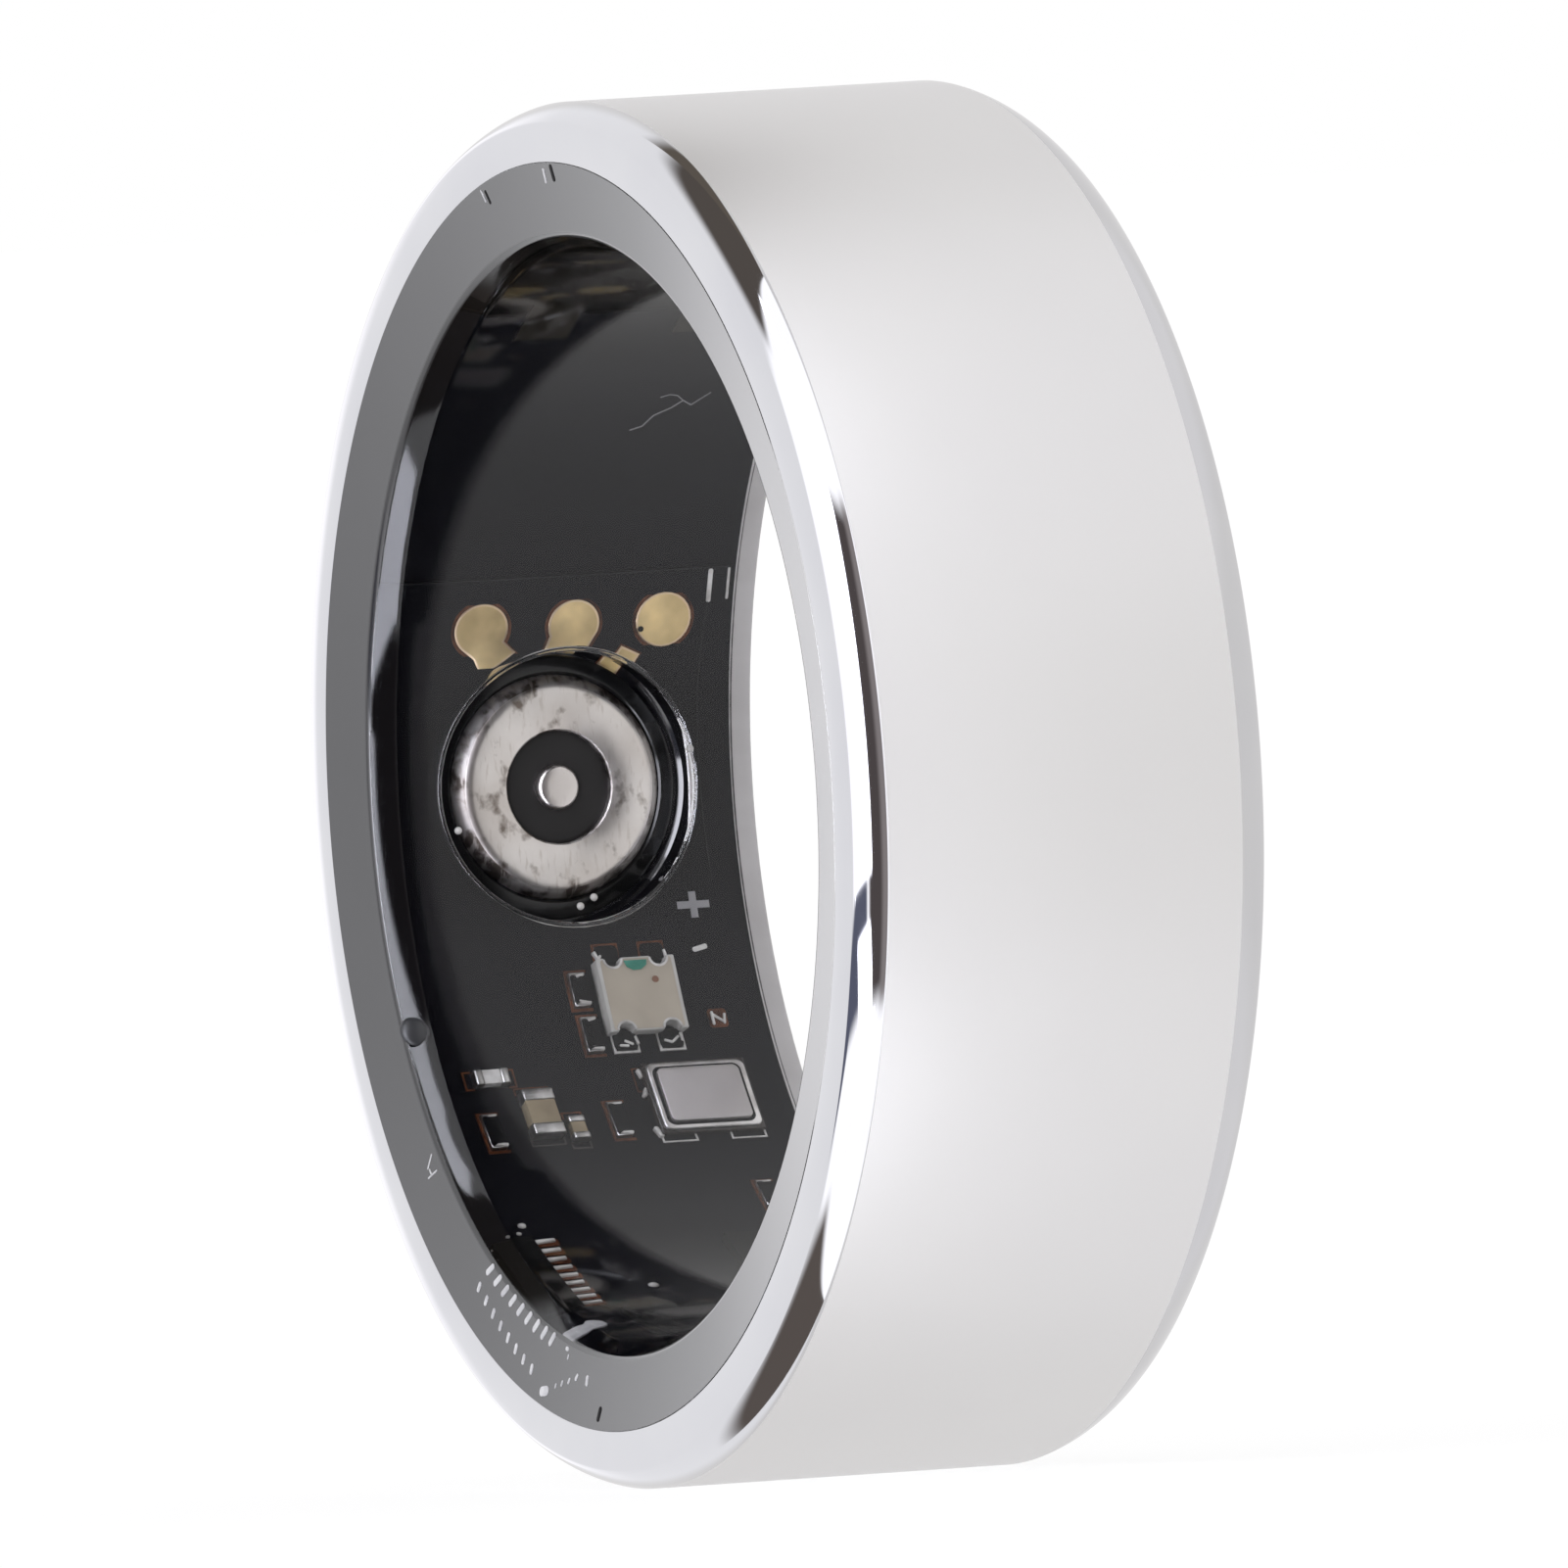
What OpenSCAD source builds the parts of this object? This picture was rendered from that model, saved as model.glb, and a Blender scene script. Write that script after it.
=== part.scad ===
// Smart ring: a satin metal band, lined with clear resin that seals a bent circuit board,
// a curved cell and a round charging contact. The ring stands upright, its axis along Y.
// Places on the board are given as a run along its arc from the contact, and as a shift
// along the ring's axis.

/* [Ring] */
// Diameter of the bore that the finger goes through
bore_d = 19.8; // [18.6:0.1:22]
// Thickness from the bore to the outside of the band
wall_t = 2.3; // [2.25:0.05:2.8]
// Width of the ring along the finger
ring_w = 7.9; // [7.6:0.1:9]

/* [Metal shell] */
// Thickness of the band under the channel
band_t = 0.45; // [0.35:0.05:0.55]
// Resin between the board's tape and the flange
flange_clear = 0.15; // [0.1:0.01:0.2]
// How far the polished bevel drops below the outside
bevel_drop = 0.35; // [0.25:0.05:0.45]
// Length of the polished bevel along the ring
bevel_len = 0.58; // [0.4:0.02:0.8]
// How far the polished bevel bulges past its chord
bevel_bulge = 0.05; // [0.02:0.01:0.08]
// Thickness of the flange at each end of the channel
flange_t = 0.6; // [0.5:0.05:0.7]

/* [Clear liner] */
// How far the bore's edge lies behind the ring's end face
liner_dip = 0.24; // [0.1:0.02:0.4]
// Rounding of the bore's edge
bore_edge_r = 0.1; // [0.05:0.01:0.2]
// Depth of resin over the rigid board
cover_t = 0.8; // [0.75:0.01:0.9]

/* [Board] */
// Thickness of the rigid board
rigid_t = 0.1; // [0.08:0.01:0.15]
// Thickness of the flexible board under it
flex_t = 0.12; // [0.08:0.01:0.15]
// Thickness of the adhesive tape behind the boards
tape_t = 0.08; // [0.05:0.01:0.1]
// Gap from the flexible board's edge to the ring's end face
board_margin = 0.5; // [0.45:0.01:0.6]
// How much narrower the rigid board is on each side
rigid_inset = 0.08; // [0.04:0.01:0.12]
// Length of the flexible board above the rigid one
flex_lead = 6.6; // [6:0.1:7]
// Length of the flexible board below the rigid one
flex_tail = 0.9; // [0.4:0.1:1.6]
// Rigid board beyond the round lands
pad_edge = 0.4; // [0.2:0.05:0.6]
// Rigid board beyond the antenna
rigid_end = 0.35; // [0.2:0.05:0.6]
// Thickness of the copper and solder lands
land_t = 0.03; // [0.02:0.005:0.04]

/* [Cell] */
// Depth of resin over the cell's tape
cell_cover = 0.42; // [0.3:0.01:0.6]
// Thickness of the tape on the cell
cell_tape_t = 0.06; // [0.04:0.01:0.1]
// Gap between the cell and the metal
cell_gap = 0.15; // [0.1:0.01:0.25]
// Gap between the cell's ends and the board's ends
cell_end_gap = 0.75; // [0.5:0.05:1]
// Chamfer along the cell's long edges
cell_edge = 0.3; // [0.2:0.05:0.4]
// Width of each nickel tab
tab_w = 1; // [0.8:0.1:1.4]
// Thickness of each nickel tab
tab_t = 0.07; // [0.05:0.01:0.09]
// Length of each tab on the board
tab_lap = 0.8; // [0.6:0.1:1.2]
// Distance between the two tabs
tab_pitch = 3; // [2.4:0.1:4]

/* [Charging contact] */
// Diameter of the metal cup
cup_d = 4; // [3.6:0.1:4.2]
// Rounding of the cup's rim
cup_rim_r = 0.35; // [0.2:0.05:0.4]
// Diameter of the insulator in the cup
insulator_d = 2; // [1.6:0.1:2.2]
// Depth of the insulator's face in the cup
insulator_dip = 0.15; // [0.1:0.05:0.25]
// Diameter of the centre pin
pin_d = 0.8; // [0.6:0.05:1]
// Chamfer on the pin's face
pin_edge = 0.06; // [0.03:0.01:0.1]
// Depth of the cup's face behind the bore
cup_dip = 0.05; // [0.02:0.01:0.1]
// Width of the black collar round the cup
collar_w = 0.35; // [0.25:0.05:0.4]
// How far the collar stands above the well's floor
collar_rise = 0.1; // [0.05:0.01:0.15]
// Floor of the well round the collar
well_gap = 0.15; // [0.1:0.05:0.3]
// Depth of the well behind the bore
well_depth = 0.4; // [0.3:0.01:0.42]
// Gap between the magnet's edge and the metal
magnet_gap = 0.08; // [0.05:0.01:0.15]

/* [Gold lands] */
// Diameter of each round land
pad_d = 1.1; // [0.9:0.05:1.2]
// Distance between the round lands
pad_pitch = 1.75; // [1.6:0.05:1.9]
// Gap between the contact's collar and the round lands
pad_gap = 0.15; // [0.1:0.01:0.3]
// Width of the bright trace along the board's edge
trace_w = 0.06; // [0.04:0.01:0.08]
// Gap between the trace and the board's edge
trace_inset = 0.4; // [0.35:0.01:0.45]
// Gap between the trace and the last round land
trace_gap = 0.27; // [0.1:0.01:0.4]
// Width of the tails that run to the contact
tail_w = 0.55; // [0.4:0.05:0.6]
// Width of the narrow tail of the last land
thin_tail_w = 0.3; // [0.2:0.05:0.4]

/* [Light source] */
// Size along the ring's axis
led_w = 1.5; // [1.3:0.05:1.6]
// Size along the board's arc
led_l = 1.45; // [1.3:0.05:1.5]
// Height of the package
led_h = 0.45; // [0.35:0.05:0.5]
// Width of the package's wall round its window
led_wall = 0.12; // [0.08:0.01:0.2]
// Depth of the window
led_window_t = 0.25; // [0.2:0.01:0.3]
// Side of each light-emitting die
die_w = 0.25; // [0.2:0.01:0.3]
// Height of each die
die_h = 0.1; // [0.08:0.01:0.15]
// Width of each solder tab
led_tab_w = 0.45; // [0.3:0.05:0.5]
// Length of each solder tab
led_tab_l = 0.48; // [0.3:0.02:0.6]
// Gap from the contact's collar
led_gap = 0.925; // [0.8:0.025:1.1]
// Shift along the axis
led_shift = 1.1; // [1:0.05:1.2]

/* [Crystal] */
// Size along the ring's axis
crystal_w = 2; // [1.9:0.05:2.1]
// Size along the board's arc
crystal_l = 1.6; // [1.5:0.05:1.7]
// Height of the ceramic base
crystal_base_h = 0.22; // [0.15:0.01:0.25]
// Height of the metal lid
crystal_lid_h = 0.22; // [0.15:0.01:0.25]
// Margin of the base round the lid
crystal_margin = 0.08; // [0.05:0.01:0.12]
// Width of the lid's seam rim
seam_w = 0.14; // [0.1:0.01:0.2]
// Height of the lid's raised middle
lid_rise = 0.05; // [0.03:0.01:0.08]
// Gap from the light source
crystal_gap = 0.775; // [0.6:0.025:1]
// Shift along the axis
crystal_shift = 1.75; // [1.7:0.05:1.85]

/* [Chips] */
// Side of the processor
soc_w = 3.1; // [2.9:0.05:3.2]
// Height of the processor
soc_h = 0.4; // [0.3:0.05:0.5]
// Gap from the sensor interface chip to the processor
soc_gap = 0.5; // [0.45:0.05:0.8]
// Shift of the processor along the axis
soc_shift = -0.5; // [-0.6:0.05:-0.4]
// Distance between the processor's side lands
soc_pitch = 0.43; // [0.4:0.01:0.44]
// Size of each side land
soc_land = 0.16; // [0.12:0.01:0.2]
// Length of the sensor interface chip along the arc
afe_l = 2.7; // [2.6:0.05:2.8]
// Width of the sensor interface chip
afe_w = 0.62; // [0.5:0.02:0.7]
// Height of the sensor interface chip
afe_h = 0.4; // [0.3:0.05:0.45]
// Gap from the crystal to the sensor interface chip
afe_gap = 2.45; // [2.2:0.05:2.7]
// Gap from the board's edge to the chip's outer leads
afe_inset = 0.03; // [0.02:0.01:0.08]
// Distance between the chip's leads
lead_pitch = 0.3; // [0.28:0.01:0.31]
// Width of each lead
lead_w = 0.14; // [0.1:0.01:0.18]
// Length of each lead
lead_l = 0.25; // [0.2:0.01:0.3]
// Height of each lead
lead_h = 0.12; // [0.08:0.01:0.2]
// Side of the motion sensor
motion_w = 2; // [1.8:0.05:2.05]
// Height of the motion sensor
motion_h = 0.45; // [0.4:0.05:0.5]
// Gap from the crystal to the motion sensor
motion_gap = 3; // [2.8:0.05:3.2]
// Shift of the motion sensor along the axis
motion_shift = 1.9; // [1.8:0.05:2]
// Side of the charging chip and of the cell protection chip
power_w = 1.2; // [1:0.05:1.3]
// Height of the power chips
power_h = 0.35; // [0.3:0.05:0.4]
// Gap between the light receiver and the power chips
power_gap = 0.5; // [0.4:0.05:0.6]

/* [Light and heat sensing] */
// Size of the light receiver along the axis
receiver_w = 2.4; // [2.2:0.05:2.5]
// Size of the light receiver along the arc
receiver_l = 1.9; // [1.7:0.05:2]
// Height of the light receiver
receiver_h = 0.42; // [0.35:0.01:0.45]
// Width of the receiver's wall round its window
receiver_wall = 0.18; // [0.12:0.01:0.25]
// Depth of the receiver's window
receiver_window_t = 0.2; // [0.12:0.01:0.25]
// Gap from the processor to the light receiver
receiver_gap = 0.9; // [0.6:0.05:1.2]
// Size of the red light source along the axis
red_w = 1.6; // [1.4:0.05:1.8]
// Size of the red light source along the arc
red_l = 1.2; // [1:0.05:1.3]
// Height of the red light source
red_h = 0.4; // [0.3:0.05:0.45]
// Gap from the light receiver to the red light source
red_gap = 0.85; // [0.6:0.05:1.1]
// Size of the skin temperature sensor
heat_w = 0.8; // [0.6:0.05:0.9]
// Height of the skin temperature sensor
heat_h = 0.35; // [0.25:0.05:0.4]
// Gap from the red light source to the skin temperature sensor
heat_gap = 1; // [0.8:0.05:1.1]

/* [Radio] */
// Length of the ceramic antenna along the axis
aerial_w = 3; // [2.6:0.1:3.2]
// Width of the ceramic antenna along the arc
aerial_l = 0.9; // [0.7:0.05:1]
// Height of the ceramic antenna
aerial_h = 0.4; // [0.3:0.05:0.45]
// Gap from the red light source to the ceramic antenna
aerial_gap = 0.45; // [0.3:0.05:0.7]

/* [Small parts] */
// Width of the brown capacitor
big_cap_w = 0.8; // [0.7:0.05:0.85]
// Length of the brown capacitor along the arc
big_cap_l = 1.1; // [1:0.05:1.2]
// Height of the brown capacitor
big_cap_h = 0.45; // [0.35:0.05:0.5]
// Length of its metal end caps
big_cap_end = 0.25; // [0.2:0.01:0.3]
// How far the brown capacitor lies below the crystal's centre
big_cap_lag = 0.05; // [0.02:0.01:0.1]
// Length of each small part
chip_l = 0.6; // [0.55:0.01:0.65]
// Width of each small part
chip_w = 0.3; // [0.26:0.01:0.32]
// Height of each small part
chip_h = 0.25; // [0.2:0.01:0.3]
// Length of a small part's metal end caps
chip_end = 0.15; // [0.12:0.01:0.18]
// Gap between a small part and the larger one it serves
part_gap = 0.17; // [0.14:0.01:0.2]
// Distance between the two parts beside the light source
part_pitch = 0.98; // [0.9:0.01:1.1]
// How far that pair's middle lies below the light source's centre
column_lag = 0.25; // [0.2:0.01:0.3]
// Gap between the parts in the row beside the crystal
row_gap = 0.48; // [0.44:0.01:0.52]
// How far that row lies below the crystal's centre
row_lag = 0.3; // [0.2:0.01:0.4]
// Gap from the crystal to the single resistor below it
lone_gap = 1.35; // [1.2:0.05:1.5]
// How far solder reaches past a part on its board
solder_w = 0.1; // [0.05:0.01:0.12]

/* [Hidden] */

$fn = 96;
// Overrun that makes every cut pass clean through
cut = 0.1;
// Smallest clearance between a part and what it stands beside
clearance = 0.01;
// Degrees in a full turn
full_turn = 360;

bore_r = bore_d / 2;
outer_r = bore_r + wall_t;
half_w = ring_w / 2;
channel_r = outer_r - band_t;
channel_half = half_w - flange_t;
bevel_r = outer_r - bevel_drop;
bevel_z = half_w - bevel_len;

board_r = bore_r + cover_t;
flex_r = board_r + rigid_t;
tape_r = flex_r + flex_t;
tape_back_r = tape_r + tape_t;
flange_r = tape_back_r + flange_clear;
land_r = board_r - land_t;
pocket_base_r = flex_r + flex_t / 2;
flex_half = half_w - board_margin;
rigid_half = flex_half - rigid_inset;

cup_face = bore_r + cup_dip;
cup_seat = seat(cup_d);
collar_d = cup_d + 2 * collar_w;
collar_seat = seat(collar_d);
collar_face = bore_r + well_depth - collar_rise;
well_d = collar_d + 2 * well_gap;
well_floor = bore_r + well_depth;
well_mouth = sqrt(pow(bore_r, 2) - pow(well_d / 2, 2)) - cut;
magnet_face = tape_back_r + clearance;
magnet_t = sqrt(pow(channel_r - magnet_gap, 2) - pow(cup_d / 2, 2)) - magnet_face;

// Runs of the parts' centres, each from the part before it
pad_run = collar_d / 2 + pad_gap + pad_d / 2;
led_run = collar_d / 2 + led_gap + led_l / 2;
crystal_run = led_run + led_l / 2 + crystal_gap + crystal_l / 2;
afe_run = crystal_run + crystal_l / 2 + afe_gap + afe_l / 2;
motion_run = crystal_run + crystal_l / 2 + motion_gap + motion_w / 2;
soc_run = afe_run + afe_l / 2 + soc_gap + soc_w / 2;
receiver_run = soc_run + soc_w / 2 + receiver_gap + receiver_l / 2;
red_run = receiver_run + receiver_l / 2 + red_gap + red_l / 2;
aerial_run = red_run + red_l / 2 + aerial_gap + aerial_l / 2;

// Runs of the boards' ends
rigid_up = pad_run + pad_d / 2 + pad_edge;
rigid_down = aerial_run + aerial_l / 2 + rigid_end;
flex_up = rigid_up + flex_lead;
flex_down = rigid_down + flex_tail;

// Shifts of the parts that follow an edge or a larger part
pad_shift = rigid_half - trace_inset - trace_gap - pad_d / 2 - pad_pitch;
afe_shift = -(rigid_half - afe_inset - lead_l - afe_w / 2);
power_shift = receiver_w / 2 + power_gap + power_w / 2;
heat_shift = red_w / 2 + heat_gap + heat_w / 2;

cell_tape_r = bore_r + cell_cover;
cell_r = cell_tape_r + cell_tape_t;
cell_back_r = channel_r - cell_gap;
cell_half = channel_half - cell_gap;
cell_top = -turn(flex_up + cell_end_gap);
cell_from = turn(flex_down + cell_end_gap);
cell_to = full_turn + cell_top;
tab_r = flex_r - tab_t;

// The pair of small parts beside the light source, and the row beside the crystal
pair_run = led_run + column_lag;
pair_shift = led_shift - (led_w + chip_w) / 2 - part_gap;
row_run = crystal_run + row_lag;
row_shift = crystal_shift - (crystal_w + chip_w) / 2 - row_gap;
row_pitch = chip_w + row_gap;
big_cap_run = crystal_run + big_cap_lag;
big_cap_shift = row_shift - row_pitch - (chip_w + big_cap_w) / 2 - part_gap;
row_end_shift = big_cap_shift - (big_cap_w + chip_w) / 2 - row_gap;

// Places of the small parts: run, shift, and whether the part lies along the ring's axis
capacitor_places = [
    [row_run - (big_cap_l + chip_w) / 2 - row_gap, row_end_shift + chip_l - chip_w, true],
    [row_run, row_shift - row_pitch, false]
];
resistor_places = [
    [pair_run - part_pitch / 2, pair_shift], [pair_run + part_pitch / 2, pair_shift],
    [row_run, row_shift], [row_run, row_end_shift],
    [crystal_run + (crystal_l + chip_l) / 2 + lone_gap, crystal_shift + crystal_w / 2 - row_gap]
];
// Places of the single lands
lone_land_places = [
    [pair_run + column_lag, led_shift + (led_w + chip_w) / 2 + row_gap],
    [afe_run + chip_l, soc_shift - soc_pitch]
];
afe_leads_per_row = 9;
soc_lands_per_row = 7;

// Angle that a run along the board's arc turns through
function turn(run) = run / board_r * 180 / PI;
// Distance from the axis at which a flat base of this arc length clears the lands
function seat(l) = sqrt(pow(land_r, 2) - pow(l / 2, 2));
// Points of an arc round a centre
function arc_points(centre, r, from, to, steps) =
    [for (i = [0:steps]) let (a = from + (to - from) * i / steps) centre + r * [cos(a), sin(a)]];

// Section of the cell, from its inner face round its back
function cell_outline() = [
    [cell_r, cell_half - cell_edge], [cell_r + cell_edge, cell_half],
    [cell_back_r - cell_edge, cell_half], [cell_back_r, cell_half - cell_edge],
    [cell_back_r, cell_edge - cell_half], [cell_back_r - cell_edge, -cell_half],
    [cell_r + cell_edge, -cell_half], [cell_r, cell_edge - cell_half]
];

// Stands the ring upright: its axis turns from Z to Y
module upright() rotate([-90, 0, 0]) children();

// Puts a thing on the inner wall, X along the axis and Z towards the axis
module facing_in(run, shift)
    upright() rotate([0, 0, 180 - turn(run)]) translate([0, 0, shift]) rotate([0, -90, 0]) children();

// A box on the board, seated on its two long edges
module block(run, shift, w, l, h)
    facing_in(run, shift)
        translate([-w / 2, -l / 2, -seat(l)])
            cube([w, l, h]);

// The resin's pocket for such a box, open at the back into the board's own pocket
module pocket(run, shift, w, l, h, seat_l)
    facing_in(run, shift)
        translate([-w / 2, -l / 2, -pocket_base_r])
            cube([w, l, pocket_base_r - seat(seat_l) + h]);

// A strip bent round the axis, from one angle to another, seen from the contact
module bent_strip(inner, outer, from, to, low, high)
    upright()
        rotate_extrude(angle = to - from, start = 180 - to)
            translate([inner, low])
                square([outer - inner, high - low]);

// A bent land with straight sides
module bent_land(run, shift, w, l)
    bent_strip(land_r, board_r, turn(run - l / 2), turn(run + l / 2), shift - w / 2, shift + w / 2);

// A small part's middle or its two end caps, lying along the arc or along the axis
module chip_part(run, shift, along, l, w, h, end, caps) {
    body_w = along ? l : w;
    body_l = along ? w : l;
    if (caps)
        for (side = [-1, 1])
            facing_in(run, shift)
                translate([0, 0, -seat(body_l)])
                    translate(side * (l - end) / 2 * (along ? [1, 0, 0] : [0, 1, 0]))
                        translate([-(along ? end : w) / 2, -(along ? w : end) / 2, 0])
                            cube([along ? end : w, along ? w : end, h]);
    else
        facing_in(run, shift)
            translate([-(body_w - (along ? 2 * end : 0)) / 2, -(body_l - (along ? 0 : 2 * end)) / 2,
                       -seat(body_l)])
                cube([body_w - (along ? 2 * end : 0), body_l - (along ? 0 : 2 * end), h]);
}

// Half section of the polished bevel's waste: the corner outside its bulging arc
module bevel_waste() {
    chord = sqrt(pow(bevel_drop, 2) + pow(bevel_len, 2));
    arc_r = (pow(chord / 2, 2) + pow(bevel_bulge, 2)) / (2 * bevel_bulge);
    middle = [(bevel_r + outer_r) / 2, (half_w + bevel_z) / 2];
    inward = [-bevel_len, -bevel_drop] / chord;
    centre = middle + inward * (arc_r - bevel_bulge);
    difference() {
        translate([bevel_r, bevel_z])
            square([bevel_drop + cut, bevel_len + cut]);
        translate(centre)
            circle(r = arc_r, $fn = 200);
    }
}

// Metal band: a channel open to the bore, with a flat rim and a polished bevel at each end
module outer_shell()
    color([0.86, 0.86, 0.87])
        upright()
            rotate_extrude($fn = 180)
                difference() {
                    translate([flange_r, -half_w])
                        square([outer_r - flange_r, ring_w]);
                    translate([flange_r - cut, -channel_half])
                        square([channel_r - flange_r + cut, 2 * channel_half]);
                    bevel_waste();
                    mirror([0, 1])
                        bevel_waste();
                }

// Half section of the resin: it fills the channel, and its ends slope down to the bore
module liner_section() {
    slope = atan2(liner_dip, flange_r - bore_r);
    bend = 90 - slope;
    reach = bore_edge_r * tan(bend / 2);
    edge_z = half_w - liner_dip;
    centre = [bore_r + bore_edge_r, edge_z - reach];
    edge = arc_points(centre, bore_edge_r, 180, 90 + slope, 4);
    polygon(concat(
        edge,
        [[flange_r, half_w], [flange_r, channel_half], [channel_r, channel_half],
         [channel_r, -channel_half], [flange_r, -channel_half], [flange_r, -half_w]],
        [for (i = [1:len(edge)]) let (p = edge[len(edge) - i]) [p[0], -p[1]]]
    ));
}

// Pockets for the boards with their lands, for the tape behind them and for the tabs
module board_pockets() {
    upright()
        rotate_extrude(angle = turn(flex_up + flex_down), start = 180 - turn(flex_down))
            polygon([
                [flex_r, flex_half], [tape_r, flex_half], [tape_r, rigid_half], [tape_back_r, rigid_half],
                [tape_back_r, -rigid_half], [tape_r, -rigid_half], [tape_r, -flex_half], [flex_r, -flex_half]
            ]);
    bent_strip(land_r, pocket_base_r, -turn(rigid_up), turn(rigid_down), -rigid_half, rigid_half);
    for (side = [-1, 1])
        bent_strip(tab_r, pocket_base_r, cell_top - turn(cell_edge), turn(tab_lap - flex_up),
                   (side * tab_pitch - tab_w) / 2, (side * tab_pitch + tab_w) / 2);
}

// Pocket for the cell and the tape on it
module cell_pocket()
    upright()
        rotate_extrude(angle = cell_to - cell_from, start = 180 - cell_to)
            polygon(concat(
                [[cell_tape_r, cell_edge - cell_half], [cell_tape_r, cell_half - cell_edge]],
                cell_outline()
            ));

// Pockets for everything that stands on the board
module component_pockets() {
    lid_w = crystal_w - 2 * crystal_margin;
    lid_l = crystal_l - 2 * crystal_margin;
    row_l = afe_leads_per_row * lead_pitch;
    pocket(led_run, led_shift, led_w, led_l, led_h, led_l);
    pocket(crystal_run, crystal_shift, crystal_w, crystal_l, crystal_base_h, crystal_l);
    pocket(crystal_run, crystal_shift, lid_w, lid_l, crystal_base_h + crystal_lid_h, crystal_l);
    pocket(soc_run, soc_shift, soc_w, soc_w, soc_h, soc_w);
    pocket(afe_run, afe_shift, afe_w, afe_l, afe_h, afe_l);
    bent_strip(seat(lead_w) - lead_h, pocket_base_r, turn(afe_run - row_l / 2), turn(afe_run + row_l / 2),
               afe_shift - afe_w / 2 - lead_l, afe_shift + afe_w / 2 + lead_l);
    pocket(motion_run, motion_shift, motion_w, motion_w, motion_h, motion_w);
    pocket(receiver_run, 0, receiver_w, receiver_l, receiver_h, receiver_l);
    pocket(receiver_run, -power_shift, power_w, power_w, power_h, power_w);
    pocket(receiver_run, power_shift, power_w, power_w, power_h, power_w);
    pocket(red_run, 0, red_w, red_l, red_h, red_l);
    pocket(red_run, heat_shift, heat_w, heat_w, heat_h, heat_w);
    pocket(aerial_run, 0, aerial_w, aerial_l, aerial_h, aerial_l);
    pocket(big_cap_run, big_cap_shift, big_cap_w, big_cap_l, big_cap_h, big_cap_l);
    for (p = capacitor_places) {
        l = p[2] ? chip_w : chip_l;
        pocket(p[0], p[1], p[2] ? chip_l : chip_w, l, chip_h, l);
    }
    for (p = resistor_places)
        pocket(p[0], p[1], chip_w, chip_l, chip_h, chip_l);
}

// Pockets for the charging contact, its collar and magnet, and the open well round it
module port_pockets()
    facing_in(0, 0) {
        translate([0, 0, -board_r])
            cylinder(d = cup_d, h = board_r - well_floor + cut);
        translate([0, 0, -board_r])
            cylinder(d = collar_d, h = board_r - well_floor);
        translate([0, 0, -well_floor])
            cylinder(d = well_d, h = well_floor - well_mouth);
        translate([0, 0, -magnet_face - magnet_t])
            cylinder(d = cup_d, h = magnet_face + magnet_t - pocket_base_r);
    }

// Clear resin liner: the bore, the round well and a pocket for each sealed part
module clear_liner()
    color([0.8, 0.84, 0.88, 0.35])
        difference() {
            upright()
                rotate_extrude($fn = 180)
                    liner_section();
            board_pockets();
            cell_pocket();
            component_pockets();
            port_pockets();
        }

// Flexible board, bent round the inside of the band
module flex_board()
    color([0.14, 0.14, 0.15])
        bent_strip(flex_r, tape_r, -turn(flex_up), turn(flex_down), -flex_half, flex_half);

// Rigid board that carries the parts, starting just above the contact
module rigid_board()
    color([0.16, 0.16, 0.17])
        bent_strip(board_r, flex_r, -turn(rigid_up), turn(rigid_down), -rigid_half, rigid_half);

// Adhesive tape behind the flexible board
module board_tape()
    color([0.85, 0.8, 0.6])
        bent_strip(tape_r, tape_back_r, -turn(flex_up), turn(flex_down), -rigid_half, rigid_half);

// Curved cell in the rest of the channel
module battery_cell()
    color([0.7, 0.71, 0.73])
        upright()
            rotate_extrude(angle = cell_to - cell_from, start = 180 - cell_to)
                polygon(cell_outline());

// Dark tape over the cell's inner face
module battery_tape()
    color([0.1, 0.09, 0.08])
        bent_strip(cell_tape_r, cell_r, cell_from, cell_to, cell_edge - cell_half, cell_half - cell_edge);

// Two nickel tabs from the cell's end onto the flexible board
module battery_tabs()
    color([0.75, 0.72, 0.66])
        for (side = [-1, 1])
            bent_strip(tab_r, flex_r, cell_top, turn(tab_lap - flex_up),
                       (side * tab_pitch - tab_w) / 2, (side * tab_pitch + tab_w) / 2);

// Metal cup of the charging contact, with a rounded rim
module port_cup()
    color([0.78, 0.77, 0.75])
        facing_in(0, 0)
            translate([0, 0, -cup_seat])
                rotate_extrude()
                    difference() {
                        translate([insulator_d / 2, 0])
                            square([(cup_d - insulator_d) / 2, cup_seat - cup_face]);
                        translate([cup_d / 2 - cup_rim_r, cup_seat - cup_face - cup_rim_r])
                            difference() {
                                square([cup_rim_r + cut, cup_rim_r + cut]);
                                circle(r = cup_rim_r);
                            }
                    }

// Black insulator in the cup
module port_insulator()
    color([0.05, 0.05, 0.05])
        facing_in(0, 0)
            translate([0, 0, -cup_seat])
                difference() {
                    cylinder(d = insulator_d, h = cup_seat - cup_face - insulator_dip);
                    translate([0, 0, -cut])
                        cylinder(d = pin_d, h = cup_seat - cup_face + 2 * cut);
                }

// Centre pin, flush with the cup's face
module port_pin()
    color([0.85, 0.84, 0.82])
        facing_in(0, 0)
            translate([0, 0, -cup_seat])
                rotate_extrude()
                    polygon([
                        [0, 0], [pin_d / 2, 0], [pin_d / 2, cup_seat - cup_face - pin_edge],
                        [pin_d / 2 - pin_edge, cup_seat - cup_face], [0, cup_seat - cup_face]
                    ]);

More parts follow.
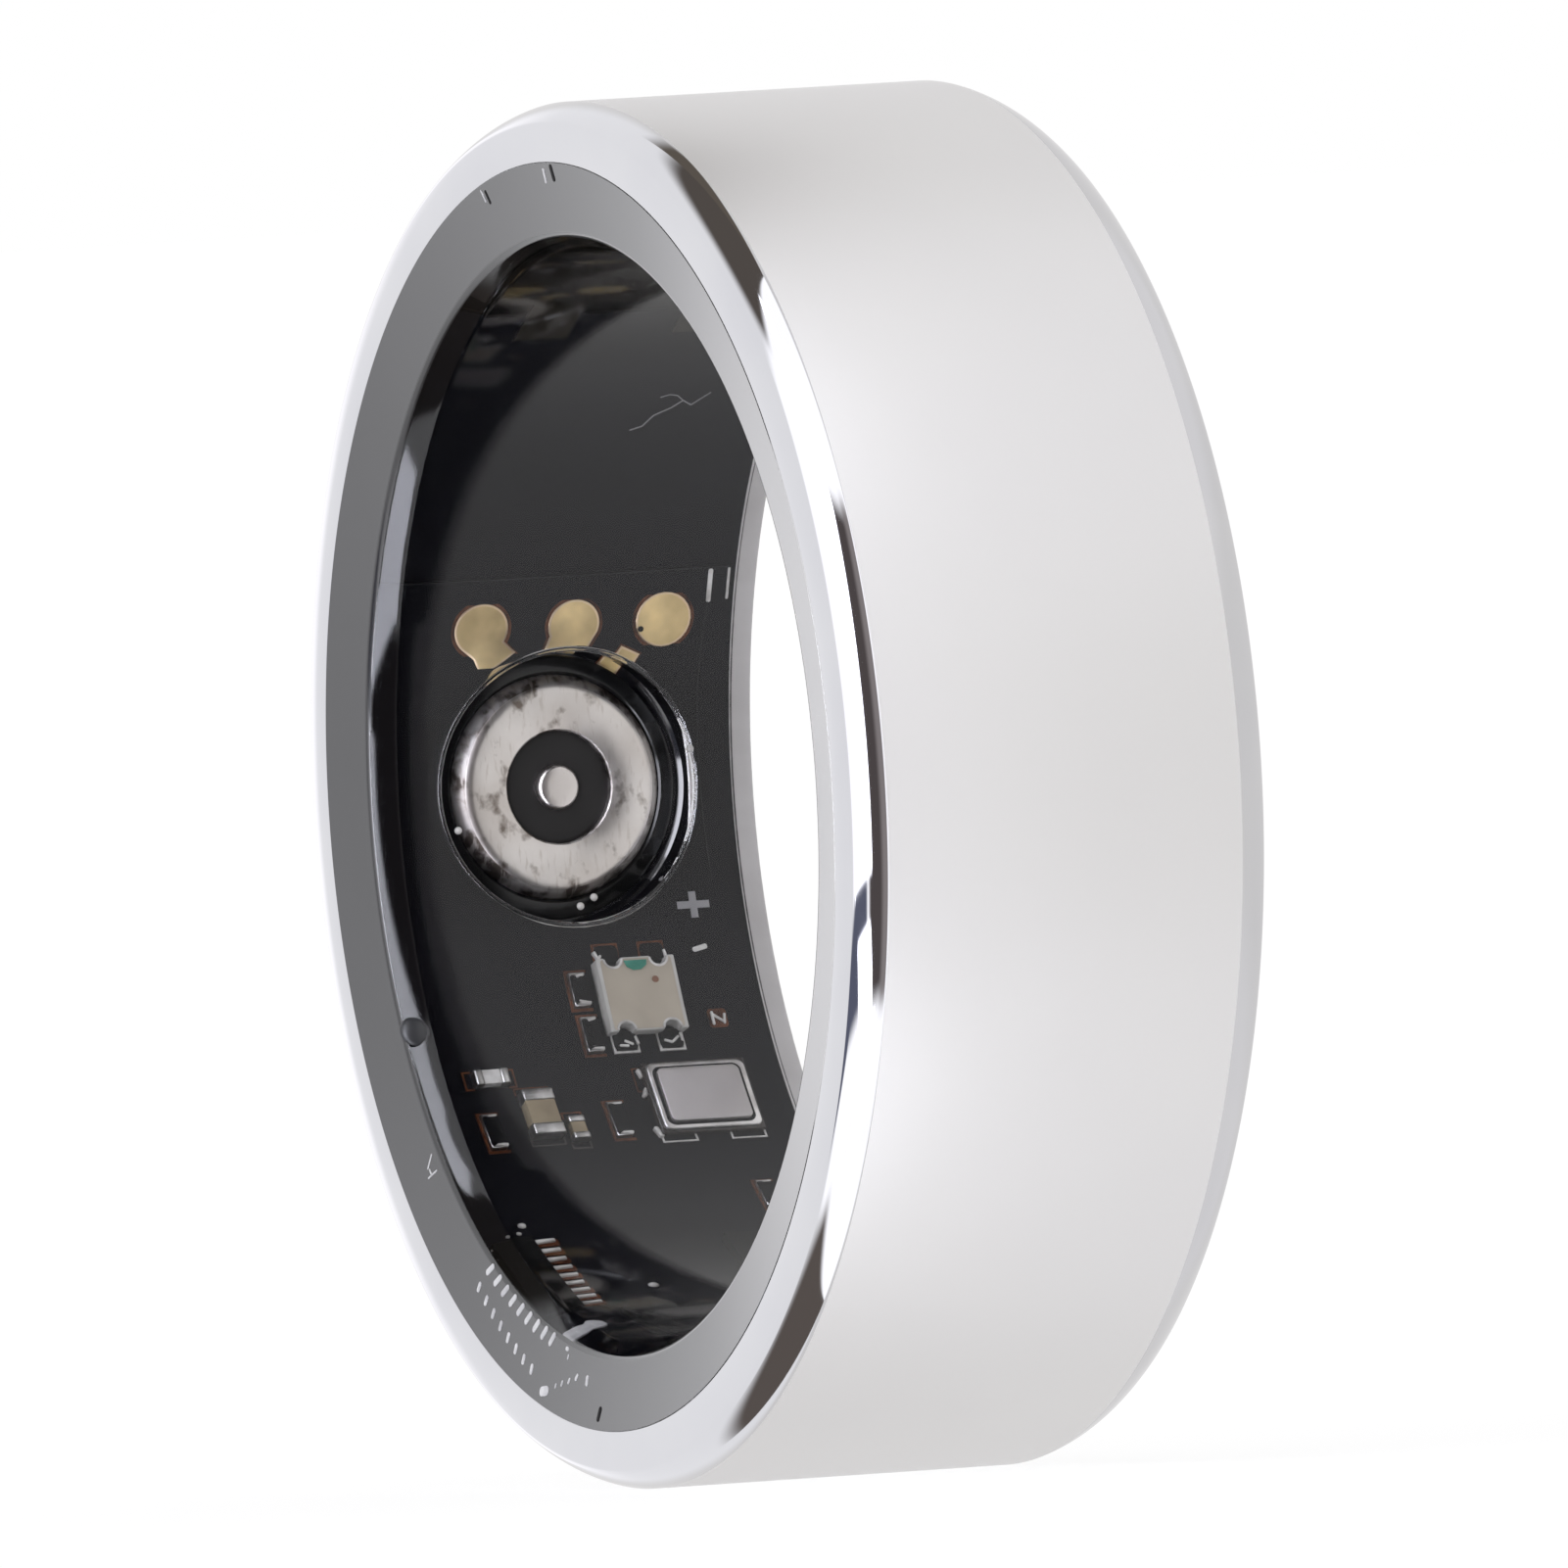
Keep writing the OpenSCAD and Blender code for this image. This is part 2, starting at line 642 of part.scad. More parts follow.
// Black collar that seals the cup in the resin
module port_collar()
    color([0.04, 0.04, 0.04])
        facing_in(0, 0)
            translate([0, 0, -collar_seat])
                difference() {
                    cylinder(d = collar_d, h = collar_seat - collar_face);
                    translate([0, 0, -cut])
                        cylinder(d = cup_d, h = collar_seat - collar_face + 2 * cut);
                }

// Magnet behind the board that pulls the charger on
module port_magnet()
    color([0.55, 0.55, 0.57])
        facing_in(0, 0)
            translate([0, 0, -magnet_face - magnet_t])
                cylinder(d = cup_d, h = magnet_t);

// Three round gold lands above the contact, with tails that run to it
module gold_lands()
    color([0.8, 0.68, 0.42])
        intersection() {
            bent_strip(land_r, board_r, -turn(pad_run + pad_d), 0, -rigid_half, rigid_half);
            union() {
                for (i = [-1:1])
                    facing_in(-pad_run, pad_shift + i * pad_pitch)
                        translate([0, 0, -flex_r])
                            cylinder(d = pad_d, h = cover_t);
                for (i = [-1, 0])
                    gold_tail(pad_shift + i * pad_pitch, tail_w);
                gold_tail(pad_shift + pad_pitch / 2, thin_tail_w);
            }
        }

// One straight tail of a gold land, which ends under the contact
module gold_tail(shift, w) {
    l = pad_run - cup_d / 4;
    facing_in(-pad_run + l / 2, shift)
        translate([-w / 2, -l / 2, -flex_r])
            cube([w, l, cover_t]);
}

// Bright trace beside the rigid board's far edge
module antenna_trace()
    color([0.8, 0.8, 0.8])
        bent_strip(land_r, board_r, -turn(rigid_up), turn(collar_d / 2),
                   rigid_half - trace_inset, rigid_half - trace_inset + trace_w);

// White package of the green light source, with a square window
module led_body()
    color([0.85, 0.83, 0.76])
        difference() {
            block(led_run, led_shift, led_w, led_l, led_h);
            led_window_space();
        }

// Space in the light source's package that the window fills
module led_window_space()
    facing_in(led_run, led_shift)
        translate([led_wall - led_w / 2, led_wall - led_l / 2, led_h - led_window_t - seat(led_l)])
            cube([led_w - 2 * led_wall, led_l - 2 * led_wall, led_window_t]);

// Cloudy window that covers the dies
module led_window()
    color([0.88, 0.86, 0.78])
        difference() {
            led_window_space();
            led_dies();
        }

// Two dies on the floor of the window
module led_dies()
    color([0.2, 0.75, 0.55])
        for (side = [-1, 1])
            facing_in(led_run, led_shift + side * led_w / 5)
                translate([-die_w / 2, -die_w / 2, led_h - led_window_t - seat(led_l)])
                    cube([die_w, die_w, die_h]);

// Ceramic base of the timing crystal
module crystal_base()
    color([0.3, 0.3, 0.31])
        block(crystal_run, crystal_shift, crystal_w, crystal_l, crystal_base_h);

// Metal lid of the timing crystal: a seam rim and a raised middle
module crystal_lid() {
    lid_w = crystal_w - 2 * crystal_margin;
    lid_l = crystal_l - 2 * crystal_margin;
    color([0.66, 0.65, 0.63])
        facing_in(crystal_run, crystal_shift)
            translate([0, 0, crystal_base_h - seat(crystal_l)]) {
                translate([-lid_w / 2, -lid_l / 2, 0])
                    cube([lid_w, lid_l, crystal_lid_h - lid_rise]);
                translate([seam_w - lid_w / 2, seam_w - lid_l / 2, 0])
                    cube([lid_w - 2 * seam_w, lid_l - 2 * seam_w, crystal_lid_h]);
            }
}

// Processor with its radio
module processor()
    color([0.08, 0.08, 0.09])
        block(soc_run, soc_shift, soc_w, soc_w, soc_h);

// Bright lands in a row on each of the processor's two sides
module processor_lands()
    color([0.85, 0.84, 0.8])
        for (side = [-1, 1], i = [0:soc_lands_per_row - 1])
            bent_land(soc_run + side * (soc_w / 2 + soc_land),
                      soc_shift + (i - (soc_lands_per_row - 1) / 2) * soc_pitch, soc_land, soc_land);

// Place of each lead of the sensor interface chip
function lead_run(i) = afe_run + (i - (afe_leads_per_row - 1) / 2) * lead_pitch;
function lead_shift(side) = afe_shift + side * (afe_w + lead_l) / 2;

// Narrow chip that reads the light receiver
module sensor_chip()
    color([0.07, 0.07, 0.08])
        block(afe_run, afe_shift, afe_w, afe_l, afe_h);

// Two rows of gold leads on the narrow chip
module sensor_chip_leads()
    color([0.72, 0.63, 0.5])
        for (side = [-1, 1], i = [0:afe_leads_per_row - 1])
            block(lead_run(i), lead_shift(side), lead_l, lead_w, lead_h);

// Motion sensor
module motion_sensor()
    color([0.12, 0.12, 0.13])
        block(motion_run, motion_shift, motion_w, motion_w, motion_h);

// Space in the light receiver that its window fills
module receiver_window_space()
    facing_in(receiver_run, 0)
        translate([receiver_wall - receiver_w / 2, receiver_wall - receiver_l / 2,
                   receiver_h - receiver_window_t - seat(receiver_l)])
            cube([receiver_w - 2 * receiver_wall, receiver_l - 2 * receiver_wall, receiver_window_t]);

// Black body of the light receiver
module receiver_body()
    color([0.06, 0.06, 0.06])
        difference() {
            block(receiver_run, 0, receiver_w, receiver_l, receiver_h);
            receiver_window_space();
        }

// Clear window over the receiver's cell
module receiver_window()
    color([0.25, 0.27, 0.35])
        receiver_window_space();

// Red and infrared light source
module red_led()
    color([0.86, 0.84, 0.8])
        block(red_run, 0, red_w, red_l, red_h);

// Chip that charges the cell
module charging_chip()
    color([0.1, 0.1, 0.11])
        block(receiver_run, -power_shift, power_w, power_w, power_h);

// Chip that protects the cell
module protection_chip()
    color([0.1, 0.1, 0.11])
        block(receiver_run, power_shift, power_w, power_w, power_h);

// Skin temperature sensor
module heat_sensor()
    color([0.15, 0.15, 0.16])
        block(red_run, heat_shift, heat_w, heat_w, heat_h);

// Ceramic antenna at the board's lower end
module chip_antenna()
    color([0.82, 0.84, 0.86])
        block(aerial_run, 0, aerial_w, aerial_l, aerial_h);

// Brown capacitor's middle
module brown_capacitor()
    color([0.6, 0.52, 0.44])
        chip_part(big_cap_run, big_cap_shift, false, big_cap_l, big_cap_w, big_cap_h, big_cap_end, false);

// Brown capacitor's metal end caps
module brown_capacitor_caps()
    color([0.78, 0.78, 0.77])
        chip_part(big_cap_run, big_cap_shift, false, big_cap_l, big_cap_w, big_cap_h, big_cap_end, true);

// Middles of the small capacitors
module small_capacitors()
    color([0.45, 0.4, 0.35])
        for (p = capacitor_places)
            chip_part(p[0], p[1], p[2], chip_l, chip_w, chip_h, chip_end, false);

// End caps of the small capacitors
module small_capacitor_caps()
    color([0.8, 0.8, 0.79])
        for (p = capacitor_places)
            chip_part(p[0], p[1], p[2], chip_l, chip_w, chip_h, chip_end, true);

// Middles of the resistors
module resistors()
    color([0.08, 0.08, 0.09])
        for (p = resistor_places)
            chip_part(p[0], p[1], false, chip_l, chip_w, chip_h, chip_end, false);

// End caps of the resistors
module resistor_caps()
    color([0.78, 0.76, 0.73])
        for (p = resistor_places)
            chip_part(p[0], p[1], false, chip_l, chip_w, chip_h, chip_end, true);

// Solder lands under the parts, and the lone lands beside them
module solder_lands()
    color([0.7, 0.66, 0.6]) {
        for (side = [-1, 1], edge = [-1, 1])
            bent_land(led_run + edge * led_l / 2, led_shift + side * led_tab_w, led_tab_w, led_tab_l);
        for (side = [-1, 1])
            bent_land(crystal_run, crystal_shift + side * (crystal_w / 2 - crystal_l / 4),
                      crystal_l / 2, crystal_l + 2 * solder_w);
        bent_land(big_cap_run, big_cap_shift, big_cap_w, big_cap_l + 2 * solder_w);
        for (p = capacitor_places)
            bent_land(p[0], p[1], p[2] ? chip_l + 2 * solder_w : chip_w,
                      p[2] ? chip_w : chip_l + 2 * solder_w);
        for (p = resistor_places)
            bent_land(p[0], p[1], chip_w, chip_l + 2 * solder_w);
        for (p = lone_land_places)
            bent_land(p[0], p[1], chip_w, chip_w);
    }

outer_shell();
clear_liner();
flex_board();
rigid_board();
board_tape();
battery_cell();
battery_tape();
battery_tabs();
port_cup();
port_insulator();
port_pin();
port_collar();
port_magnet();
gold_lands();
antenna_trace();
led_body();
led_window();
led_dies();
crystal_base();
crystal_lid();
processor();
processor_lands();
sensor_chip();
sensor_chip_leads();
motion_sensor();
receiver_body();
receiver_window();
red_led();
charging_chip();
protection_chip();
heat_sensor();
chip_antenna();
brown_capacitor();
brown_capacitor_caps();
small_capacitors();
small_capacitor_caps();
resistors();
resistor_caps();
solder_lands();
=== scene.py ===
"""Dresses a smart ring: satin band, clear resin liner, bent circuit board and charging contact.

The ring stands on its rim with its axis along Y. Lengths in the classes are in millimetres, and a
finished piece is brought to metres when it is placed. Places on the board are a run along its arc
from the contact, downwards, and a shift along the ring's axis.
"""
from __future__ import annotations

import logging
import math
from contextlib import contextmanager
from dataclasses import dataclass
from enum import Enum
from functools import cache
from typing import Callable, ClassVar, Iterator, Sequence

import bmesh
import bpy
from mathutils import Matrix, Vector

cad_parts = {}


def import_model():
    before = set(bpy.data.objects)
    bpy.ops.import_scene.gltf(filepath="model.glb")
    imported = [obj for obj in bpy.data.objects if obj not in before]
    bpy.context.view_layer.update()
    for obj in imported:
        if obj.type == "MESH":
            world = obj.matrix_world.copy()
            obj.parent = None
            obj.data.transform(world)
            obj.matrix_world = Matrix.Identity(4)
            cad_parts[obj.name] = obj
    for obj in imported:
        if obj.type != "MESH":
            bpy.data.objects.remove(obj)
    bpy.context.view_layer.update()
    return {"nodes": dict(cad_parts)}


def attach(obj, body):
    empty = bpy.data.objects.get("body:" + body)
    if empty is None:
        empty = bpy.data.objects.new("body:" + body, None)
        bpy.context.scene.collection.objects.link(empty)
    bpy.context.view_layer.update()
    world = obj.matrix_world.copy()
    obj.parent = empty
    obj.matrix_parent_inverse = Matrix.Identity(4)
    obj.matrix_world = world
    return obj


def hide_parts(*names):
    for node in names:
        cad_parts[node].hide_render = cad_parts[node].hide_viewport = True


LOG = logging.getLogger("ring")
MM = 0.001
# Points of a profile that are closer than this, in millimetres, become one.
WELD = 2e-4
CORNERS = ((-1, -1), (-1, 1), (1, -1), (1, 1))
ROOT = "root"
Object = bpy.types.Object
Face = bpy.types.MeshPolygon
Material = bpy.types.Material
Socket = bpy.types.NodeSocket
Point = tuple[float, float]
Triple = tuple[float, float, float]
Five = tuple[float, float, float, float, float]


class Pick(Enum):
    """What a selection in edit mode is made of."""

    VERTS = "VERT"
    EDGES = "EDGE"
    FACES = "FACE"


@dataclass(frozen=True)
class RingSizes:
    """Sizes of the ring that its pieces share.

    Args:
        outer_r: Radius of the band's outside.
        half_w: Half the ring's width.
        channel_r: Radius of the channel in the band.
        channel_half: Half the channel's width.
        flange_r: Inner radius of the channel's flanges.
        board_r: Radius of the board's face.
    """

    outer_r: float = 12.2
    half_w: float = 3.95
    channel_r: float = 11.75
    channel_half: float = 3.35
    flange_r: float = 11.15
    board_r: float = 10.7


RING = RingSizes()


def clear_selection() -> None:
    """Leaves nothing selected and no mesh in edit mode."""
    if bpy.context.object is not None and bpy.context.object.mode != "OBJECT":
        bpy.ops.object.mode_set(mode="OBJECT")
    bpy.ops.object.select_all(action="DESELECT")


def activate(obj: Object) -> None:
    """Makes an object the only selected and the active one.

    Args:
        obj: The object.
    """
    clear_selection()
    obj.select_set(True)
    bpy.context.view_layer.objects.active = obj


@contextmanager
def editing(obj: Object) -> Iterator[None]:
    """Holds a mesh in edit mode, with all of it selected at first.

    Args:
        obj: The object that has the mesh.

    Yields:
        Nothing. The mesh leaves edit mode afterwards.
    """
    activate(obj)
    bpy.ops.object.mode_set(mode="EDIT")
    bpy.ops.mesh.select_mode(type="VERT")
    bpy.ops.mesh.select_all(action="SELECT")
    yield
    bpy.ops.object.mode_set(mode="OBJECT")


def pick(obj: Object, kind: Pick, test: Callable[[Vector, Vector], bool]) -> None:
    """Selects what passes a test in the mesh that is in edit mode.

    Args:
        obj: The object in edit mode.
        kind: Vertices, edges or faces.
        test: Takes the middle and the normal, or for an edge its direction.
    """
    bpy.ops.mesh.select_mode(type=kind.value)
    bpy.ops.mesh.select_all(action="DESELECT")
    mesh = bmesh.from_edit_mesh(obj.data)
    if kind is Pick.VERTS:
        found = [v for v in mesh.verts if test(v.co, v.normal)]
    elif kind is Pick.EDGES:
        ends = [(e, e.verts[0].co, e.verts[1].co) for e in mesh.edges]
        found = [e for e, a, b in ends if test((a + b) / 2, (b - a).normalized())]
    else:
        found = [f for f in mesh.faces if test(f.calc_center_median(), f.normal)]
    for item in found:
        item.select = True
    mesh.select_flush_mode()
    bmesh.update_edit_mesh(obj.data)


def added(name: str) -> Object:
    """Names the object that was just added."""
    bpy.context.object.name = bpy.context.object.data.name = name
    return bpy.context.object


def drawn_profile(name: str, points: Sequence[Point], closed: bool) -> Object:
    """Draws a chain of edges in the XY plane by extruding a vertex from point to point.

    Args:
        name: Name of the piece.
        points: The chain's points.
        closed: True to join its ends.

    Returns:
        The new object.
    """
    clear_selection()
    bpy.ops.mesh.primitive_plane_add(size=0.1)
    obj = added(name)
    with editing(obj):
        bpy.ops.mesh.merge(type="CENTER")
        bpy.ops.mesh.select_mode(type="VERT")
        bpy.ops.transform.translate(value=(*points[0], 0))
        for (x0, y0), (x1, y1) in zip(points, points[1:]):
            bpy.ops.mesh.extrude_region_move(TRANSFORM_OT_translate={"value": (x1 - x0, y1 - y0, 0)})
        if closed:
            ends = [Vector((*points[i], 0)) for i in (0, -1)]
            pick(obj, Pick.VERTS, lambda co, _: min((co - end).length for end in ends) < WELD / 2)
            bpy.ops.mesh.edge_face_add()
    return obj


def turned(name: str, points: Sequence[Point], steps: int, closed: bool = False) -> Object:
    """Turns a profile, radius and height, into a solid of revolution.

    Args:
        name: Name of the piece.
        points: The profile's points. An open profile starts and ends on the axis.
        steps: Steps round the axis.
        closed: True for a ring, whose profile closes on itself.

    Returns:
        The new object, its axis along Y.
    """
    obj = drawn_profile(name, points, closed)
    with editing(obj):
        bpy.ops.mesh.spin(steps=steps, angle=2 * math.pi, center=(0, 0, 0), axis=(0, 1, 0))
        bpy.ops.mesh.select_all(action="SELECT")
        bpy.ops.mesh.remove_doubles(threshold=WELD)
        bpy.ops.mesh.normals_make_consistent(inside=False)
    return obj


def arc(centre: Point, radius: float, start: float, end: float, steps: int) -> list[Point]:
    """Points of an arc, its angles in degrees."""
    angles = [math.radians(start + (end - start) * i / steps) for i in range(steps + 1)]
    return [(centre[0] + radius * math.cos(a), centre[1] + radius * math.sin(a)) for a in angles]


def bulged(start: Point, end: Point, bulge: float, steps: int) -> list[Point]:
    """Draws a shallow arc.

    Args:
        start: Its first point.
        end: Its last point.
        bulge: How far it stands out to the right of its chord.
        steps: Steps along it.

    Returns:
        Its points.
    """
    chord = Vector(end) - Vector(start)
    side = Vector((chord.y, -chord.x)).normalized()
    shares = [i / steps for i in range(steps + 1)]
    return [tuple(Vector(start) + chord * t + side * bulge * 4 * t * (1 - t)) for t in shares]


def mirrored(points: Sequence[Point]) -> list[Point]:
    """The far half of a profile, from its near half."""
    return [(r, -y) for r, y in reversed(points)]


def rounded(w: float, l: float, radius: float, steps: int = 6) -> list[Point]:
    """Points of a rectangle with rounded corners, its middle at the origin."""
    corners = [(1, 1, 0), (-1, 1, 90), (-1, -1, 180), (1, -1, 270)]
    return [point for sx, sy, start in corners for point in arc(
        (sx * (w / 2 - radius), sy * (l / 2 - radius)), radius, start, start + 90, steps)]


def bracket(w: float, l: float, bar: float) -> list[Point]:
    """Points of a U that lies on its side and opens to the right."""
    x, y = w / 2, l / 2
    return [(-x, -y), (x, -y), (x, bar - y), (bar - x, bar - y), (bar - x, y - bar), (x, y - bar), (x, y), (-x, y)]


def plate(name: str, points: Sequence[Point], height: float, edge: float = 0, steps: int = 2) -> Object:
    """Raises a plate from an outline, with its upper edge rounded.

    Args:
        name: Name of the piece.
        points: The outline, its first point not repeated.
        height: Height of the plate.
        edge: Rounding of its upper edge.
        steps: Steps of the rounding.

    Returns:
        The new object, its foot in the XY plane.
    """
    obj = drawn_profile(name, points, closed=False)
    with editing(obj):
        bpy.ops.mesh.edge_face_add()
        bpy.ops.mesh.extrude_region_move(TRANSFORM_OT_translate={"value": (0, 0, height)})
        bpy.ops.mesh.select_all(action="SELECT")
        bpy.ops.mesh.normals_make_consistent(inside=False)
        if edge:
            pick(obj, Pick.EDGES, lambda co, _: co.z > height - WELD / 20)
            bpy.ops.mesh.bevel(offset=edge, segments=steps, affect="EDGES", clamp_overlap=True)
    return obj


def block(name: str, w: float, l: float, height: float, edge: float) -> Object:
    """Makes a box with rounded edges.

    Args:
        name: Name of the piece.
        w: Its width.
        l: Its length.
        height: Its height.
        edge: Rounding of its edges.

    Returns:
        The new object, which stands on the XY plane.
    """
    clear_selection()
    bpy.ops.mesh.primitive_cube_add(size=1)
    obj = added(name)
    with editing(obj):
        bpy.ops.transform.resize(value=(w, l, height))
        bpy.ops.transform.translate(value=(0, 0, height / 2))
        bpy.ops.mesh.bevel(offset=edge, segments=3, affect="EDGES")
    return obj


def drop(name: str, radius: float, steps: int, margin: float = 15) -> Object:
    """Turns a drop.

    Args:
        name: Name of the piece.
        radius: Its radius.
        steps: Steps from its foot to its top.
        margin: How far its arc stops short of foot and top, in degrees.

    Returns:
        The new object, its axis along Y.
    """
    round_side = arc((0, 0), radius, margin, 90 - margin, steps)
    return turned(name, [(0, 0), (radius, 0), *round_side, (0, radius)], 4 * steps)


@cache
def material(finish: Finish) -> Material:
    """Makes the material of a finish, once."""
    return finish.build()


def zoned(obj: Object, finishes: Sequence[Finish], choice: Callable[[Face], Finish], angle: float) -> Object:
    """Gives each face of a piece its finish.

    Args:
        obj: The piece.
        finishes: The finishes to choose from.
        choice: Takes a face and says which of them it has.
        angle: Edges sharper than this, in degrees, stay sharp.

    Returns:
        The piece.
    """
    obj.data.materials.clear()
    for finish in finishes:
        obj.data.materials.append(material(finish))
    for face in obj.data.polygons:
        face.material_index = finishes.index(choice(face))
    activate(obj)
    bpy.ops.object.shade_smooth_by_angle(angle=math.radians(angle))
    return obj


def dressed(obj: Object, finish: Finish, angle: float = 30) -> Object:
    """Gives a piece its one finish and its shading."""
    return zoned(obj, [finish], lambda face: finish, angle)


def placed(obj: Object, place: Matrix | None = None) -> Object:
    """Brings a piece to its place and to metres, with both kept in its mesh.

    Args:
        obj: The piece.
        place: Its place, if it isn't there yet.

    Returns:
        The piece.
    """
    activate(obj)
    obj.matrix_world = Matrix.Scale(MM, 4) @ (place or Matrix.Identity(4)) @ obj.matrix_world
    bpy.ops.object.transform_apply(location=True, rotation=True, scale=True)
    return obj


def laid(obj: Object, finish: Finish, place: Matrix, angle: float = 30) -> Object:
    """Dresses a piece and brings it to its place."""
    return placed(dressed(obj, finish, angle), place)


def joined(name: str, pieces: Sequence[Object]) -> Object:
    """Joins placed pieces into one object.

    Args:
        name: Name of the whole.
        pieces: The pieces.

    Returns:
        The whole.
    """
    activate(pieces[0])
    for piece in pieces:
        piece.select_set(True)
    bpy.ops.object.join()
    return added(name)


def repeated(name: str, pattern: Object, places: Sequence[Matrix]) -> Object:
    """Copies a pattern to several places and removes it.

    Args:
        name: Name of the whole.
        pattern: The piece, still at the origin.
        places: Where the copies go.

    Returns:
        The copies, joined.
    """
    twins = []
    for place in places:
        twin = pattern.copy()
        twin.data = pattern.data.copy()
        bpy.context.scene.collection.objects.link(twin)
        twins.append(placed(twin, place))
    bpy.data.objects.remove(pattern)
    return joined(name, twins)


def modified(obj: Object, kind: str, **settings: object) -> None:
    """Adds a modifier to a piece and applies it.

    Args:
        obj: The piece.
        kind: The modifier.
        settings: Its settings.
    """
    activate(obj)
    tool = obj.modifiers.new(kind.title(), kind)
    for key, value in settings.items():
        setattr(tool, key, value)
    bpy.ops.object.modifier_apply(modifier=tool.name)


def cut_out(obj: Object, cutter: Object, place: Matrix) -> None:
    """Cuts one piece out of another.

    Args:
        obj: The piece that stays.
        cutter: The piece that is taken away.
        place: Where it cuts.
    """
    cutter.matrix_world = place
    modified(obj, "BOOLEAN", operation="DIFFERENCE", object=cutter, solver="EXACT")
    bpy.data.objects.remove(cutter)


def spun(degrees: float, axis: str = "Z") -> Matrix:
    """Turn about an axis."""
    return Matrix.Rotation(math.radians(degrees), 4, axis)


UPRIGHT = spun(90, "X")


def bent(obj: Object, radius: float) -> Object:
    """Bends a flat piece round the ring's axis.

    Args:
        obj: The piece.
        radius: Radius of the cylinder on which its XY plane comes.

    Returns:
        The piece.
    """
    activate(obj)
    obj.matrix_world = spun(-90, "X") @ obj.matrix_world
    bpy.ops.object.transform_apply(location=True, rotation=True, scale=True)
    modified(obj, "SIMPLE_DEFORM", deform_method="BEND", deform_axis="X", angle=obj.dimensions.z / radius)
    obj.matrix_world = spun(-90, "X").inverted()
    bpy.ops.object.transform_apply(location=True, rotation=True, scale=True)
    return obj


def framed(*columns: Vector) -> Matrix:
    """Frame from its three axes and its origin."""
    return Matrix([[c[i] for c in columns] for i in range(3)] + [[0, 0, 0, 1]])


def on_board(run: float, shift: float, radius: float = RING.board_r) -> Matrix:
    """Finds a place on the bent board.

    Args:
        run: Its run along the arc.
        shift: Its shift along the ring's axis.
        radius: Its distance from the axis.

    Returns:
        Its frame: X along the ring's axis, Y up the arc, Z to the axis.
    """
    turn = run / RING.board_r
    inward = Vector((math.cos(turn), 0, math.sin(turn)))
    up = Vector((-math.sin(turn), 0, math.cos(turn)))
    return framed(Vector((0, 1, 0)), up, inward, -inward * radius + Vector((0, shift, 0)))


def carried(obj: Object, slot: str | None, *nodes: str) -> None:
    """Puts a finished piece on the ring's body.

    Args:
        obj: The piece.
        slot: Its material slot, if it has one. Not used.
        nodes: The nodes that it stands for.
    """
    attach(obj, ROOT)
    if nodes:
        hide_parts(*nodes)
    LOG.info("%s: %d faces, for %s", obj.name, len(obj.data.polygons), ", ".join(nodes) or "detail")


class Graph:
    """A node tree under construction."""

    def __init__(self, tree: bpy.types.NodeTree) -> None:
        """Starts with an empty tree."""
        self.tree = tree
        tree.nodes.clear()

    def put(self, socket: Socket, value: object) -> None:
        """Links an input to an output, or sets it.

        Args:
            socket: The input.
            value: An output, a number or a colour.
        """
        if isinstance(value, Socket):
            self.tree.links.new(value, socket)
        elif isinstance(value, (tuple, list)) and len(value) == 3 and socket.type == "RGBA":
            socket.default_value = (*value, 1)
        else:
            socket.default_value = value

    def node(self, kind: str, inputs: dict[str | int, object] | None = None, **settings: object) -> bpy.types.Node:
        """Adds a node.

        Args:
            kind: Its type.
            inputs: What its inputs are linked or set to.
            settings: Its settings.

        Returns:
            The node.
        """
        node = self.tree.nodes.new(kind)
        for key, value in settings.items():
            setattr(node, key, value)
        for key, value in (inputs or {}).items():
            self.put(node.inputs[key], value)
        return node

    def maths(self, operation: str, *values: object) -> Socket:
        """Adds one node of arithmetic."""
        return self.node("ShaderNodeMath", dict(enumerate(values)), operation=operation).outputs[0]

    def blend(self, under: object, over: object, share: Socket) -> Socket:
        """Mixes two colours by a share; 6, 7 and 2 are the node's sockets for colours."""
        return self.node("ShaderNodeMix", {0: share, 6: under, 7: over}, data_type="RGBA").outputs[2]

    def rays(self, *kinds: str) -> Socket:
        """1 for rays of the one or two kinds that are named, else 0."""
        path = self.node("ShaderNodeLightPath").outputs
        return self.maths("MAXIMUM", *[path[kind] for kind in kinds]) if len(kinds) > 1 else path[kinds[0]]


